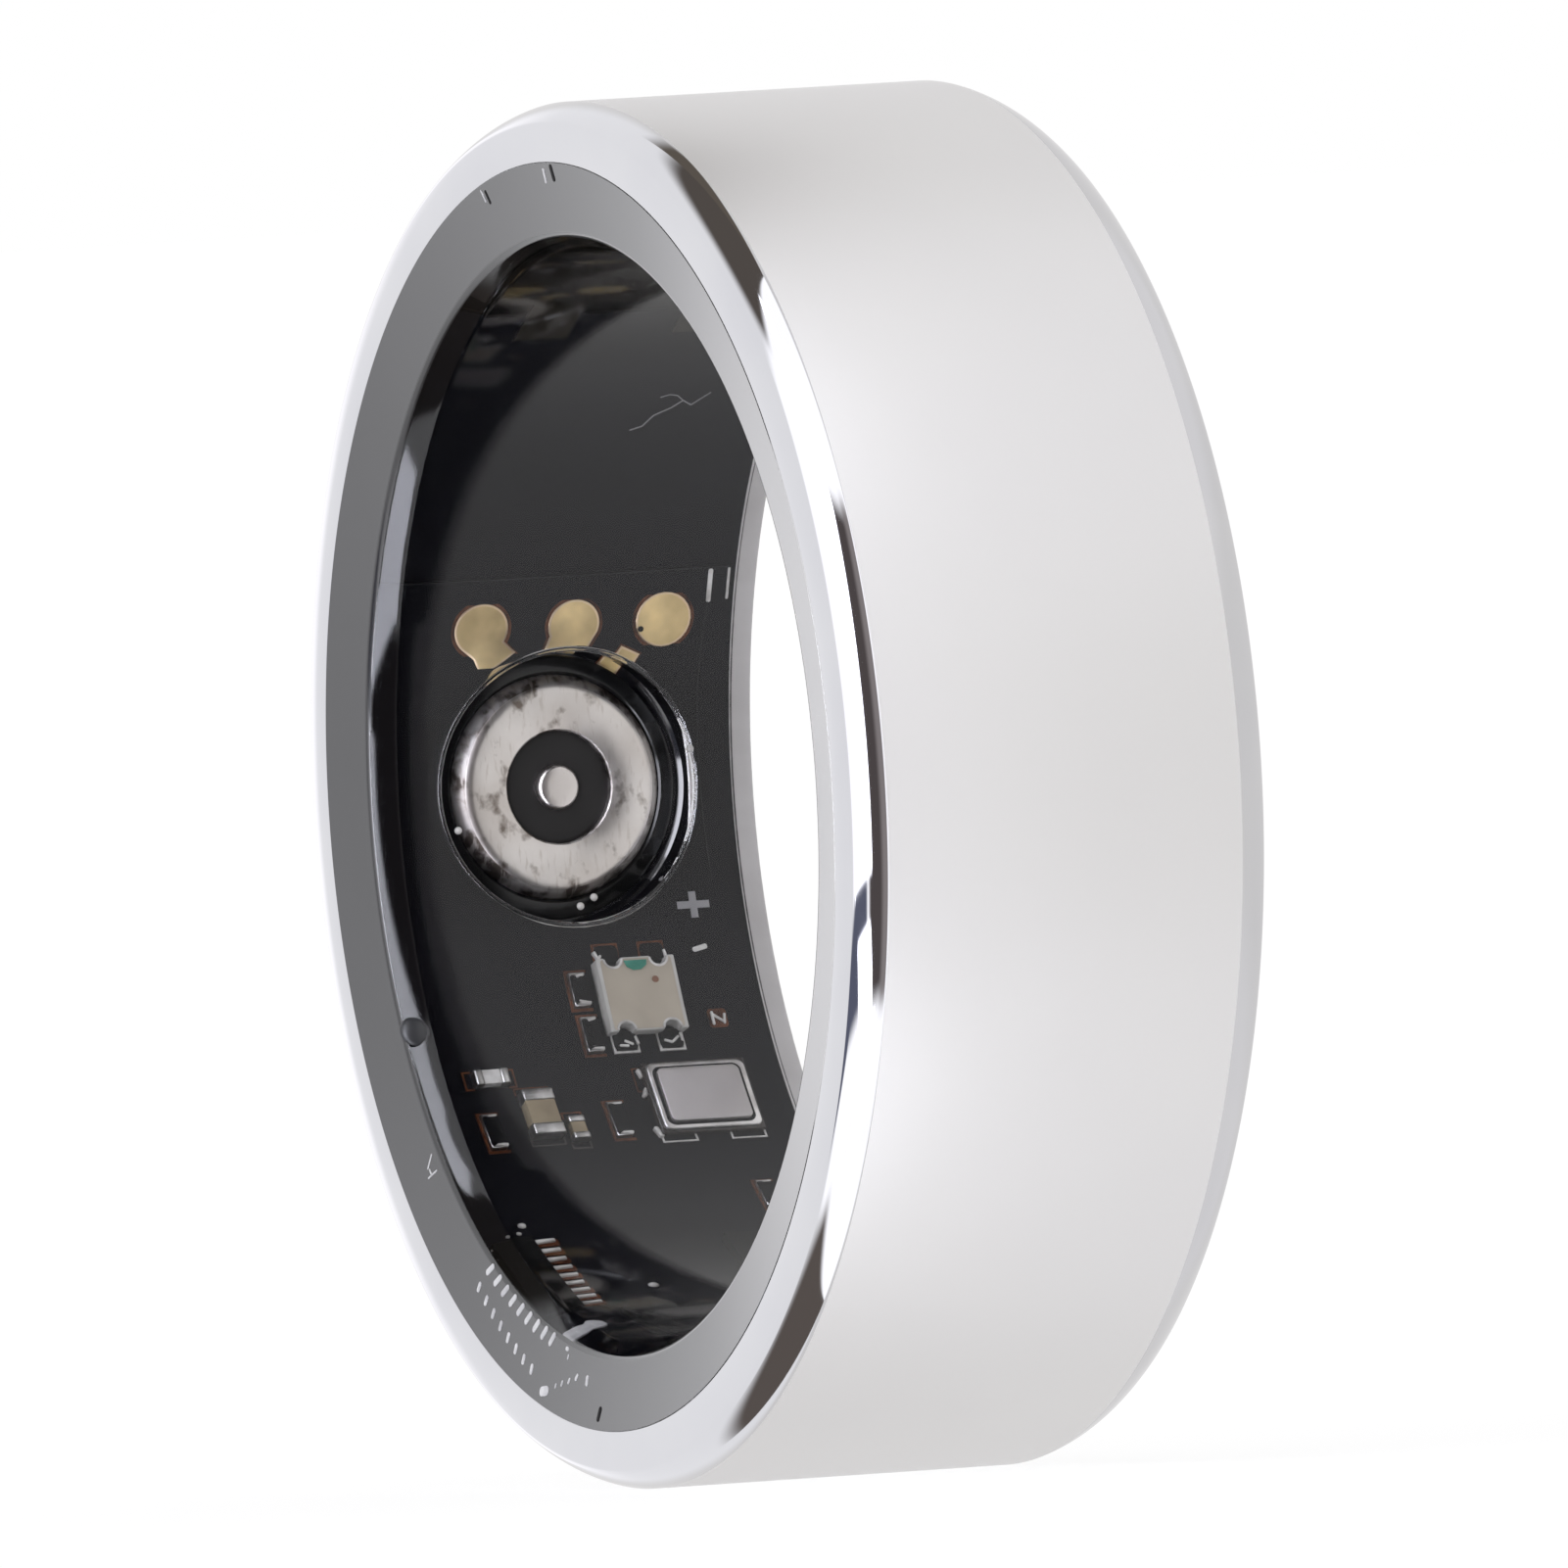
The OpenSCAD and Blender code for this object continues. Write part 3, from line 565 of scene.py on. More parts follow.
class Recipe(Graph):
    """One node material under construction."""

    def __init__(self, name: str) -> None:
        """Starts a material with a principled shader.

        Args:
            name: Name of the material.
        """
        self.material = bpy.data.materials.new(name)
        self.material.use_nodes = True
        super().__init__(self.material.node_tree)
        self.body = self.node("ShaderNodeBsdfPrincipled")
        self.surface = self.node("ShaderNodeOutputMaterial").inputs["Surface"]
        self.put(self.surface, self.body.outputs["BSDF"])
        self.place = self.node("ShaderNodeTexCoord").outputs["Object"]

    def set(self, **inputs: object) -> None:
        """Sets inputs of the principled shader, with _ for a space in a name."""
        for key, value in inputs.items():
            self.put(self.body.inputs[key.replace("_", " ")], value)

    def show(self, shader: Socket, *kinds: str) -> None:
        """Shows rays of these kinds another shader instead."""
        inputs = {0: self.rays(*kinds), 1: self.surface.links[0].from_socket, 2: shader}
        self.put(self.surface, self.node("ShaderNodeMixShader", inputs).outputs["Shader"])

    def noise(self, scale: float, detail: float = 3, stretch: Triple = (1, 1, 1)) -> Socket:
        """Adds noise on object coordinates.

        Args:
            scale: Its scale, per metre.
            detail: Its detail.
            stretch: How much finer it is along each axis.

        Returns:
            The noise, from 0 to 1.
        """
        mapping = self.node("ShaderNodeMapping", {"Vector": self.place, "Scale": stretch})
        inputs = {"Vector": mapping.outputs["Vector"], "Scale": scale, "Detail": detail}
        return self.node("ShaderNodeTexNoise", inputs).outputs["Fac"]

    def ramp(self, source: Socket, *stops: tuple[float, Triple]) -> Socket:
        """Spreads two colours over a source.

        Args:
            source: What goes from 0 to 1.
            stops: Place and colour of both stops.

        Returns:
            The colour.
        """
        node = self.node("ShaderNodeValToRGB", {"Fac": source})
        for element, (at, colour) in zip(node.color_ramp.elements, stops):
            element.position = at
            element.color = (*colour, 1)
        return node.outputs["Color"]

    def spread(self, source: Socket, low: float, high: float) -> Socket:
        """Maps a source from 0..1 to low..high."""
        return self.node("ShaderNodeMapRange", {"Value": source, "To Min": low, "To Max": high}).outputs["Result"]

    def bump(self, height: Socket, strength: float, depth: float) -> None:
        """Roughens the shader's normal by a height, its depth in metres."""
        node = self.node("ShaderNodeBump", {"Strength": strength, "Distance": depth, "Height": height})
        self.put(self.body.inputs["Normal"], node.outputs["Normal"])


@dataclass(frozen=True)
class PatchyFinish:
    """A surface with lighter and darker areas.

    Args:
        name: Name of the material.
        light: Colour of the lighter areas.
        shade: Colour of the darker areas.
        smooth: Lowest roughness.
        rough: Highest roughness.
        patch: Scale of the areas, per metre.
    """

    name: str
    light: Triple
    shade: Triple
    smooth: float = 0.4
    rough: float = 0.55
    patch: float = 900
    finer: ClassVar[float] = 4

    def refine(self, recipe: Recipe) -> None:
        """Adds to the recipe what this kind of finish needs."""

    def build(self) -> Material:
        """Makes the material, the areas of its roughness finer than those of its colour.

        Returns:
            The material.
        """
        recipe = Recipe(self.name)
        recipe.set(
            Base_Color=recipe.ramp(recipe.noise(self.patch), (0.3, self.shade), (0.7, self.light)),
            Roughness=recipe.spread(recipe.noise(self.patch * self.finer), self.smooth, self.rough),
        )
        self.refine(recipe)
        return recipe.material


@dataclass(frozen=True)
class MetalFinish(PatchyFinish):
    """A metal, from mirror polish to satin.

    Args:
        grain: Scale of the fine grain, per metre.
        grain_depth: Depth of the grain, in metres.
    """

    patch: float = 300
    grain: float = 30000
    grain_depth: float = 0
    finer: ClassVar[float] = 3

    def refine(self, recipe: Recipe) -> None:
        """Makes it metal and gives it its grain.

        Args:
            recipe: The material's recipe.
        """
        recipe.set(Metallic=1.0)
        if self.grain_depth:
            recipe.bump(recipe.noise(self.grain), 1, self.grain_depth)


@dataclass(frozen=True)
class SolidFinish(PatchyFinish):
    """A plastic, ceramic, ink or tape.

    Args:
        gloss: Specular level. What is sealed in resin has next to none.
    """

    gloss: float = 0.04

    def refine(self, recipe: Recipe) -> None:
        """Gives it its gloss."""
        recipe.set(Specular_IOR_Level=self.gloss)


@dataclass(frozen=True)
class ResinFinish:
    """Clear resin, which light reaches through for what is sealed in it.

    Args:
        name: Name of the material.
        tint: Colour of the light that passes.
        ior: Index of refraction.
        haze: Roughness.
    """

    name: str
    tint: Triple
    ior: float = 1.46
    haze: float = 0.07

    def build(self) -> Material:
        """Makes the material.

        Returns:
            The material.
        """
        recipe = Recipe(self.name)
        recipe.set(Base_Color=self.tint, Roughness=self.haze, IOR=self.ior, Transmission_Weight=1.0)
        passing = recipe.node("ShaderNodeBsdfTransparent", {"Color": self.tint})
        recipe.show(passing.outputs["BSDF"], "Is Shadow Ray", "Is Diffuse Ray")
        return recipe.material


@dataclass(frozen=True)
class SealedFinish(PatchyFinish):
    """Resin over a dark ground, under a second clear layer.

    Args:
        coat: Roughness of the clear layer.
    """

    smooth: float = 0.1
    rough: float = 0.14
    patch: float = 260
    coat: float = 0.05
    finer: ClassVar[float] = 900 / 260

    def refine(self, recipe: Recipe) -> None:
        """Lays the clear layer over it."""
        recipe.set(Coat_Weight=1.0, Coat_Roughness=self.coat)


@dataclass(frozen=True)
class WornFinish(PatchyFinish):
    """Plated metal with dark pits, stains and fine scratches.

    Args:
        pit: Colour of the pits.
        wear: Share of the face that the pits take, from 0 to 1.
        pits: Scale of the pits, per metre.
        scratches: Scale of the scratches and of the roughness, per metre.
        grain: Scale of the fine grain, per metre.
        grain_depth: Depth of the grain, in metres.
    """

    smooth: float = 0.22
    rough: float = 0.42
    patch: float = 520
    pit: Triple = (0.2, 0.17, 0.15)
    wear: float = 0.38
    pits: float = 2100
    scratches: float = 1500
    grain: float = 1900
    grain_depth: float = 1.4e-5

    def build(self) -> Material:
        """Makes the material.

        Returns:
            The material.
        """
        recipe, on, off = Recipe(self.name), (1, 1, 1), (0, 0, 0)
        base = recipe.ramp(recipe.noise(self.patch, 8), (0.36, self.shade), (0.6, self.light))
        pits = recipe.ramp(recipe.noise(self.pits, 9), (self.wear - 0.06, on), (self.wear + 0.06, off))
        lines = recipe.ramp(recipe.noise(self.scratches, 5, (1, 7, 1.6)), (0.34, on), (0.44, off))
        recipe.set(
            Base_Color=recipe.blend(recipe.blend(base, self.pit, pits), self.shade, lines),
            Metallic=1.0,
            Roughness=recipe.spread(recipe.noise(self.scratches, 6), self.smooth, self.rough),
        )
        recipe.bump(recipe.noise(self.grain, 9), 0.8, self.grain_depth)
        return recipe.material


Finish = MetalFinish | SolidFinish | ResinFinish | SealedFinish | WornFinish

SATIN = MetalFinish("satin_steel", (0.86, 0.855, 0.85), (0.83, 0.825, 0.825), 0.36, 0.42, 120, 40000, 2e-7)
POLISH = MetalFinish("polished_steel", (0.7, 0.7, 0.71), (0.66, 0.66, 0.68), 0.03, 0.05)
LIP = SolidFinish("blasted_lip", (0.8, 0.77, 0.76), (0.7, 0.67, 0.66), 0.4, 0.5, gloss=0.4)
EDGE_LINE = SealedFinish("dark_edge_line", (0.008, 0.008, 0.009), (0.005, 0.005, 0.006), 0.3, 0.42)
COATED = SolidFinish("dark_channel_coat", (0.012, 0.012, 0.013), (0.006, 0.006, 0.007))
RESIN = ResinFinish("clear_resin", (0.97, 0.98, 1.0))
RESIN_END = SealedFinish("sealed_end", (0.024, 0.024, 0.027), (0.016, 0.016, 0.018))
NICKEL = WornFinish("worn_nickel", (0.74, 0.71, 0.69), (0.6, 0.56, 0.53))
# The cup's rims and sides: a darker copy of the nickel with more pits, partly wear and partly painted shade on the
# rounding.
RIM_WEAR_PAINTED_SHADE = WornFinish(
    "worn_nickel_rim_painted_shade", (0.5, 0.48, 0.47), (0.36, 0.33, 0.31), 0.42, 0.6, pit=(0.1, 0.085, 0.075), wear=0.47)
PIN = WornFinish("worn_pin", (0.76, 0.73, 0.71), (0.66, 0.62, 0.6), 0.25, 0.4, pit=(0.4, 0.36, 0.33), wear=0.3)
INSULATOR = SolidFinish("black_insulator", (0.011, 0.01, 0.01), (0.006, 0.005, 0.005), 0.5, 0.6, gloss=0.4)
COLLAR = SolidFinish("black_collar", (0.006, 0.006, 0.007), (0.003, 0.003, 0.003), 0.12, 0.2, gloss=0.5)
GOLD = MetalFinish("gold_land", (0.93, 0.72, 0.37), (0.42, 0.31, 0.15), 0.38, 0.5, 850)
# The lands' rims and sides: a lighter copy of the gold, painted highlight along the edges.
GOLD_RIM_PAINTED_HIGHLIGHT = MetalFinish("gold_land_rim_painted_highlight", (0.9, 0.72, 0.48), (0.6, 0.44, 0.28), 0.3, 0.4)
COPPER_EDGE = SolidFinish("bare_copper_edge", (0.17, 0.06, 0.027), (0.03, 0.01, 0.006), patch=2400)
# Tin as a bright pale colour, not metal: partly its own tone, partly painted shine that stands in for the glints of
# solder.
TIN_PAINTED_SHINE = SolidFinish("tin_with_painted_shine", (0.85, 0.84, 0.82), (0.4, 0.38, 0.36), 0.15, 0.3, 2600, gloss=0.5)
FLUX = SolidFinish("flux_brown_solder", (0.035, 0.026, 0.022), (0.012, 0.009, 0.009), 0.2, 0.3, gloss=0.5)
CAP_TIN = MetalFinish("dull_tin", (0.75, 0.74, 0.72), (0.3, 0.29, 0.28), 0.25, 0.4, 2200)
CERAMIC = SolidFinish("light_package", (0.62, 0.61, 0.58), (0.46, 0.45, 0.43))
CREAM = SolidFinish("cream_window", (0.56, 0.5, 0.41), (0.42, 0.37, 0.3), patch=800)
GREEN = SolidFinish("green_window_edge", (0.09, 0.36, 0.28), (0.04, 0.22, 0.16), patch=2600)
BROWN_DOT = SolidFinish("brown_window_dot", (0.3, 0.15, 0.1), (0.22, 0.12, 0.08))
BROWN_CERAMIC = SolidFinish("brown_ceramic", (0.4, 0.33, 0.22), (0.26, 0.21, 0.14), patch=1500)
BLACK_GLAZE = SolidFinish("black_glaze", (0.004, 0.004, 0.005), (0.002, 0.002, 0.003))
LID = MetalFinish("lid_metal", (0.56, 0.53, 0.515), (0.5, 0.47, 0.46), 0.5, 0.6, 900)
SEAM = MetalFinish("lid_seam", (0.8, 0.78, 0.76), (0.4, 0.38, 0.37), 0.3, 0.4, 1800)
INK = SolidFinish("pale_ink", (0.44, 0.43, 0.45), (0.3, 0.3, 0.31))
FAINT = SolidFinish("faint_line", (0.028, 0.027, 0.03), (0.012, 0.012, 0.013))
FIBRE = SolidFinish("pale_fibre", (0.3, 0.29, 0.3), (0.2, 0.2, 0.2))
# Pale bright marks: painted glints.
PALE_PAINTED_GLINT = SolidFinish("pale_painted_glint", (0.78, 0.78, 0.8), (0.5, 0.5, 0.53), 0.15, 0.3, 3000, gloss=0.5)
BEAD = SolidFinish("resin_bead", (0.07, 0.072, 0.08), (0.045, 0.046, 0.05), 0.3, 0.4, gloss=0.4)
DARK_INLAY = SolidFinish("dark_inlay", (0.02, 0.019, 0.02), (0.008, 0.008, 0.009))
MOULD = SolidFinish("black_mould", (0.006, 0.006, 0.006), (0.004, 0.004, 0.004))
MOULDED = ("processor", "motion_sensor", "receiver_body", "charging_chip", "protection_chip", "heat_sensor")
NODE_FINISHES: dict[str, Finish] = {
    **dict.fromkeys(MOULDED, MOULD),
    "flex_board": SolidFinish("flexible_board_mask", (0.0042, 0.0041, 0.0066), (0.0033, 0.0033, 0.0054)),
    "rigid_board": SolidFinish("board_mask", (0.0042, 0.0041, 0.0066), (0.0033, 0.0033, 0.0054)),
    "board_tape": SolidFinish("adhesive_tape", (0.02, 0.018, 0.015), (0.01, 0.009, 0.008)),
    "battery_cell": MetalFinish("cell_foil", (0.05, 0.045, 0.04), (0.03, 0.027, 0.024), 0.45, 0.55),
    "battery_tape": SolidFinish("dark_tape", (0.014, 0.011, 0.008), (0.003, 0.003, 0.003), patch=420),
    "battery_tabs": SolidFinish("dulled_tab", (0.03, 0.026, 0.02), (0.015, 0.013, 0.01), 0.4, 0.5),
    "port_magnet": MetalFinish("magnet_plating", (0.4, 0.4, 0.42), (0.3, 0.3, 0.32), 0.3, 0.5),
    "processor_lands": TIN_PAINTED_SHINE,
    "receiver_window": SolidFinish("receiver_glass", (0.03, 0.035, 0.06), (0.02, 0.02, 0.04), 0.1, 0.15),
    "red_led": CERAMIC,
    "chip_antenna": SolidFinish("antenna_ceramic", (0.4, 0.42, 0.45), (0.3, 0.32, 0.35)),
}


@dataclass
class MetalBand:
    """Channelled band with flat rims and polished, slightly bulging bevels.

    Args:
        bevel_drop: How far the bevel drops below the outside.
        bevel_len: Length of the bevel along the ring.
        bevel_bulge: How far it bulges past its chord.
        edge: Rounding of the rim's edges.
        lip: Width of the bare lip inside each flange.
        skin: How near to a surface a face counts as part of it.
        steps: Steps round the ring.
    """

    bevel_drop: float = 0.35
    bevel_len: float = 0.58
    bevel_bulge: float = 0.05
    edge: float = 0.04
    lip: float = 0.6
    skin: float = 0.02
    steps: int = 360

    def half_profile(self) -> list[Point]:
        """Draws the near end, from the channel to the outside.

        Returns:
            Radius and place along the axis of each point.
        """
        rim_y = -RING.half_w
        crease = (RING.outer_r - self.bevel_drop, rim_y)
        inner = (RING.flange_r + self.edge, rim_y + self.edge)
        return [
            (RING.channel_r, -RING.channel_half),
            (RING.flange_r, -RING.channel_half),
            (RING.flange_r, self.lip - RING.half_w),
            *arc(inner, self.edge, 180, 270, 4),
            (crease[0] - self.edge, rim_y),
            *bulged(crease, (RING.outer_r, rim_y + self.bevel_len), self.bevel_bulge, 14)[1:],
        ]

    def finish_of(self, face: Face) -> Finish:
        """Says which finish a face of the band has.

        Args:
            face: The face.

        Returns:
            Its finish.
        """
        radius, across = math.hypot(face.center.x, face.center.z), abs(face.center.y)
        if radius > RING.outer_r - self.skin and across < RING.half_w - self.bevel_len:
            return SATIN
        if across > RING.half_w - self.edge * 2 or radius > RING.channel_r + self.skin:
            return POLISH
        if across > RING.half_w - self.lip and radius < RING.flange_r + self.edge:
            return LIP
        return COATED

    def build(self) -> None:
        """Turns the band and finishes each of its zones."""
        near = self.half_profile()
        obj = turned("metal_band", [*near, *mirrored(near)], self.steps, closed=True)
        zoned(obj, (SATIN, POLISH, COATED, LIP), self.finish_of, 25)
        carried(placed(obj), "satin_metal", "outer_shell")


@dataclass
class ResinLiner:
    """Clear liner: a crowned bore, eased edges, sloped ends and the round well of the contact.

    Args:
        dip: How far the crease of the end lies behind the ring's end.
        crease_r: Radius of that crease.
        shoulder: How far outside it the flat part of the end stops.
        turn_in: How far the tight rounding at the crease drops, and its length along the ring.
        ease: The same for the even slope that follows.
        settle: The same for the last rounding, into the bore.
        hollows: Hollow of the tight rounding, the even slope, the last rounding and a slope that
            curves throughout, as shares of their length.
        crown: How much the bore narrows from its edges to the middle.
        crown_steps: Steps of that.
        line: Width of the dark line at the crease, over line_z and under it.
        line_z: Height where the line's width changes.
        well_r: Radius of the well.
        well_edge: Slope at its floor's edge.
        well_floor: Distance of its floor from the ring's axis.
        lap: How far the resin reaches into the metal, so that no gap shows.
        steps: Steps round the ring.
    """

    dip: float = 0.24
    crease_r: float = 9.92
    shoulder: float = 0.03
    turn_in: Point = (0.1, 0.1)
    ease: Point = (0.165, 0.33)
    settle: Point = (0.02, 0.1)
    hollows: tuple[float, ...] = (0.12, 0.012, 0.045, 0.06)
    crown: float = 0.08
    crown_steps: int = 14
    line: Point = (0.095, 0.065)
    line_z: float = 1.2
    well_r: float = 2.5
    well_edge: float = 0.1
    well_floor: float = 10.3
    lap: float = 0.01
    steps: int = 360

    def slope(self) -> float:
        """How far the end falls for each millimetre towards the axis."""
        return self.dip / (RING.flange_r - self.crease_r)

    def half_profile(self, even: bool) -> list[Point]:
        """Draws an end, from the channel to the middle of the bore.

        Args:
            even: True for an edge eased by an even slope, False for one that curves throughout.

        Returns:
            Radius and place along the axis of each point.
        """
        crease = (self.crease_r, self.dip - RING.half_w)
        turned_in = (crease[0] - self.turn_in[0], crease[1] + self.turn_in[1])
        sloped = (turned_in[0] - self.ease[0], turned_in[1] + self.ease[1])
        eased = (sloped[0] - self.settle[0], sloped[1] + self.settle[1])
        tight, straight, last, whole = self.hollows
        if even:
            eased_edge = [*bulged(turned_in, sloped, -straight * self.ease[1], 8)[:-1],
                          *bulged(sloped, eased, -last * self.settle[1], 4)]
        else:
            eased_edge = bulged(turned_in, eased, -whole * (self.ease[1] + self.settle[1]), 12)
        shares = [i / self.crown_steps for i in range(1, self.crown_steps)]
        return [
            (RING.channel_r + self.lap, -RING.channel_half - self.lap),
            (RING.flange_r + self.lap, -RING.channel_half - self.lap),
            (RING.flange_r + self.lap, -RING.half_w + self.lap),
            (RING.flange_r, -RING.half_w),
            (crease[0] + self.shoulder, crease[1] - self.shoulder * self.slope()),
            *bulged(crease, turned_in, -tight * self.turn_in[0], 5)[:-1],
            *eased_edge,
            *[(eased[0] - self.crown * (1 - (1 - t) ** 2), eased[1] * (1 - t)) for t in shares],
        ]

    def finish_of(self, face: Face) -> Finish:
        """Says which finish a face of the liner has.

        Args:
            face: The face.

        Returns:
            Its finish. Only the near end is sealed, with a dark line at its crease.
        """
        radius, line = math.hypot(face.center.x, face.center.z), self.line[face.center.z < self.line_z]
        if face.normal.y > -0.5 or not self.crease_r - line < radius < RING.flange_r:
            return RESIN
        return RESIN_END if radius > self.crease_r else EDGE_LINE

    def build(self) -> None:
        """Turns the liner and sinks the well into it."""
        far = mirrored(self.half_profile(even=False))
        middle = (self.crease_r - self.turn_in[0] - self.ease[0] - self.settle[0] - self.crown, 0)
        obj = turned("resin_liner", [*self.half_profile(even=True), middle, *far], self.steps, closed=True)
        r, edge = self.well_r, self.well_edge
        cutter = turned("well_cutter", [(0, 0), (r - edge, 0), (r, edge), (r, 2), (0, 2)], 96)
        cut_out(obj, cutter, on_board(0, 0, self.well_floor) @ UPRIGHT)
        zoned(obj, (RESIN, RESIN_END, EDGE_LINE), self.finish_of, 30)
        carried(placed(obj), "clear_resin", "clear_liner")


@dataclass
class ChargingContact:
    """Metal cup, insulator, centre pin and the black collar round them.

    Args:
        cup_r: Radius of the cup.
        rim_r: Rounding of its rim.
        lip: Rounding of the edge of its hole.
        hole_r: Radius of the insulator.
        pin_r: Radius of the centre pin.
        pin_edge: Rounding of the pin's edge.
        face: Distance of the cup's face from the ring's axis.
        foot: Distance of the cup's foot from the axis.
        insulator_dip: Depth of the insulator's face.
        collar_r: Radius of the collar.
        collar_face: Distance of the collar's face from the axis.
        steps: Steps round the contact.
    """

    cup_r: float = 2.0
    rim_r: float = 0.35
    lip: float = 0.03
    hole_r: float = 1.0
    pin_r: float = 0.4
    pin_edge: float = 0.1
    face: float = 9.95
    foot: float = 10.46
    insulator_dip: float = 0.15
    collar_r: float = 2.35
    collar_face: float = 10.2
    steps: int = 128

    def cup(self) -> list[Point]:
        """Profile of the cup, with its rounded rim and the lip of its hole."""
        top, r, lip = self.foot - self.face, self.hole_r, self.lip
        return [(r, 0), (r, top - lip), (r + lip / 2, top - 0.01), (r + lip, top),
                *arc((self.cup_r - self.rim_r, top - self.rim_r), self.rim_r, 90, 0, 10), (self.cup_r, 0)]

    def insulator(self) -> list[Point]:
        """Profile of the insulator, slightly dished round the pin."""
        top, r, pin = self.foot - self.face - self.insulator_dip, self.hole_r, self.pin_r
        return [(0, 0), (r, 0), (r, top), (r - 0.08, top + 0.02), (pin + 0.1, top), (pin, top - 0.02),
                (0, top - 0.02)]

    def pin(self) -> list[Point]:
        """Profile of the pin, with its softly domed face."""
        top, r, edge = self.foot - self.face, self.pin_r, self.pin_edge
        return [(0, 0), (r, 0), *arc((r - edge, top - edge), edge, 0, 70, 8), (r / 2, top + 0.005), (0, top + 0.01)]

    def collar(self) -> list[Point]:
        """Profile of the collar, its face rounded by the resin that wets it."""
        top, r, end = self.foot - self.collar_face, self.cup_r, self.collar_r
        return [(r, 0), (r, top), (r + 0.05, top + 0.03), *arc((end - 0.1, top - 0.1), 0.1, 80, 0, 6), (end, 0)]

    def finish_of(self, face: Face) -> Finish:
        """Plain nickel for the cup's flat face; a darker nickel for its rims and sides, partly wear and partly
        painted shade.
        """
        radius = math.hypot(face.center.x, face.center.z)
        return NICKEL if self.hole_r + self.lip < radius < self.cup_r - self.rim_r / 2 else RIM_WEAR_PAINTED_SHADE

    def build(self) -> None:
        """Makes the contact's pieces and puts them on the ring."""
        place = on_board(0, 0, self.foot) @ UPRIGHT
        cup = turned("contact_cup", self.cup(), self.steps, closed=True)
        carried(placed(zoned(cup, (NICKEL, RIM_WEAR_PAINTED_SHADE), self.finish_of, 35), place), "contact_metal", "port_cup")
        for name, profile, finish, closed in (("insulator", self.insulator(), INSULATOR, False),
                                              ("pin", self.pin(), PIN, False),
                                              ("collar", self.collar(), COLLAR, True)):
            piece = turned(f"contact_{name}", profile, self.steps, closed)
            carried(laid(piece, finish, place, 35), f"contact_{name}", f"port_{name}")


@dataclass
class WellLip:
    """Soft lip of resin round the well, with small bright drops on it that are painted glints.

    Args:
        radius: Radius of the lip.
        bead_r: Half its thickness.
        bore_r: Radius of the bore at the well.
        drop_r: Radius of a drop.
        drops: Run and shift of each drop, a painted glint.
        bead: Run, shift, distance from the axis and radius of the bead at the near edge.
    """

    radius: float = 2.47
    bead_r: float = 0.05
    bore_r: float = 9.62
    drop_r: float = 0.07
    drops: tuple[Point, ...] = ((0.72, -2.12), (-0.6, 2.42), (2.36, 0.06), (2.2, 0.34))
    bead: tuple[float, float, float, float] = (4.67, -3.52, 9.78, 0.28)

    def build(self) -> None:
        """Bends the lip to the bore and sets the drops and the bead."""
        clear_selection()
        bpy.ops.mesh.primitive_torus_add(
            major_radius=self.radius, minor_radius=self.bead_r, major_segments=96, minor_segments=12)
        lip = bent(added("well_lip"), self.bore_r)
        carried(dressed(placed(lip, on_board(0, 0, self.bore_r)), RESIN, 60), "clear_resin")
        places = [on_board(run, shift, self.bore_r + self.drop_r) @ UPRIGHT for run, shift in self.drops]
        # Bright tin drops: painted glints on the lip.
        carried(repeated("lip_painted_glints", dressed(drop("lip_drop", self.drop_r, 4), TIN_PAINTED_SHINE, 60), places), "solder")
        *spot, size = self.bead
        flat = on_board(*spot) @ UPRIGHT @ Matrix.Diagonal((1, 0.5, 1, 1))
        carried(laid(drop("edge_bead", size, 8, 10), BEAD, flat, 60), "clear_resin")


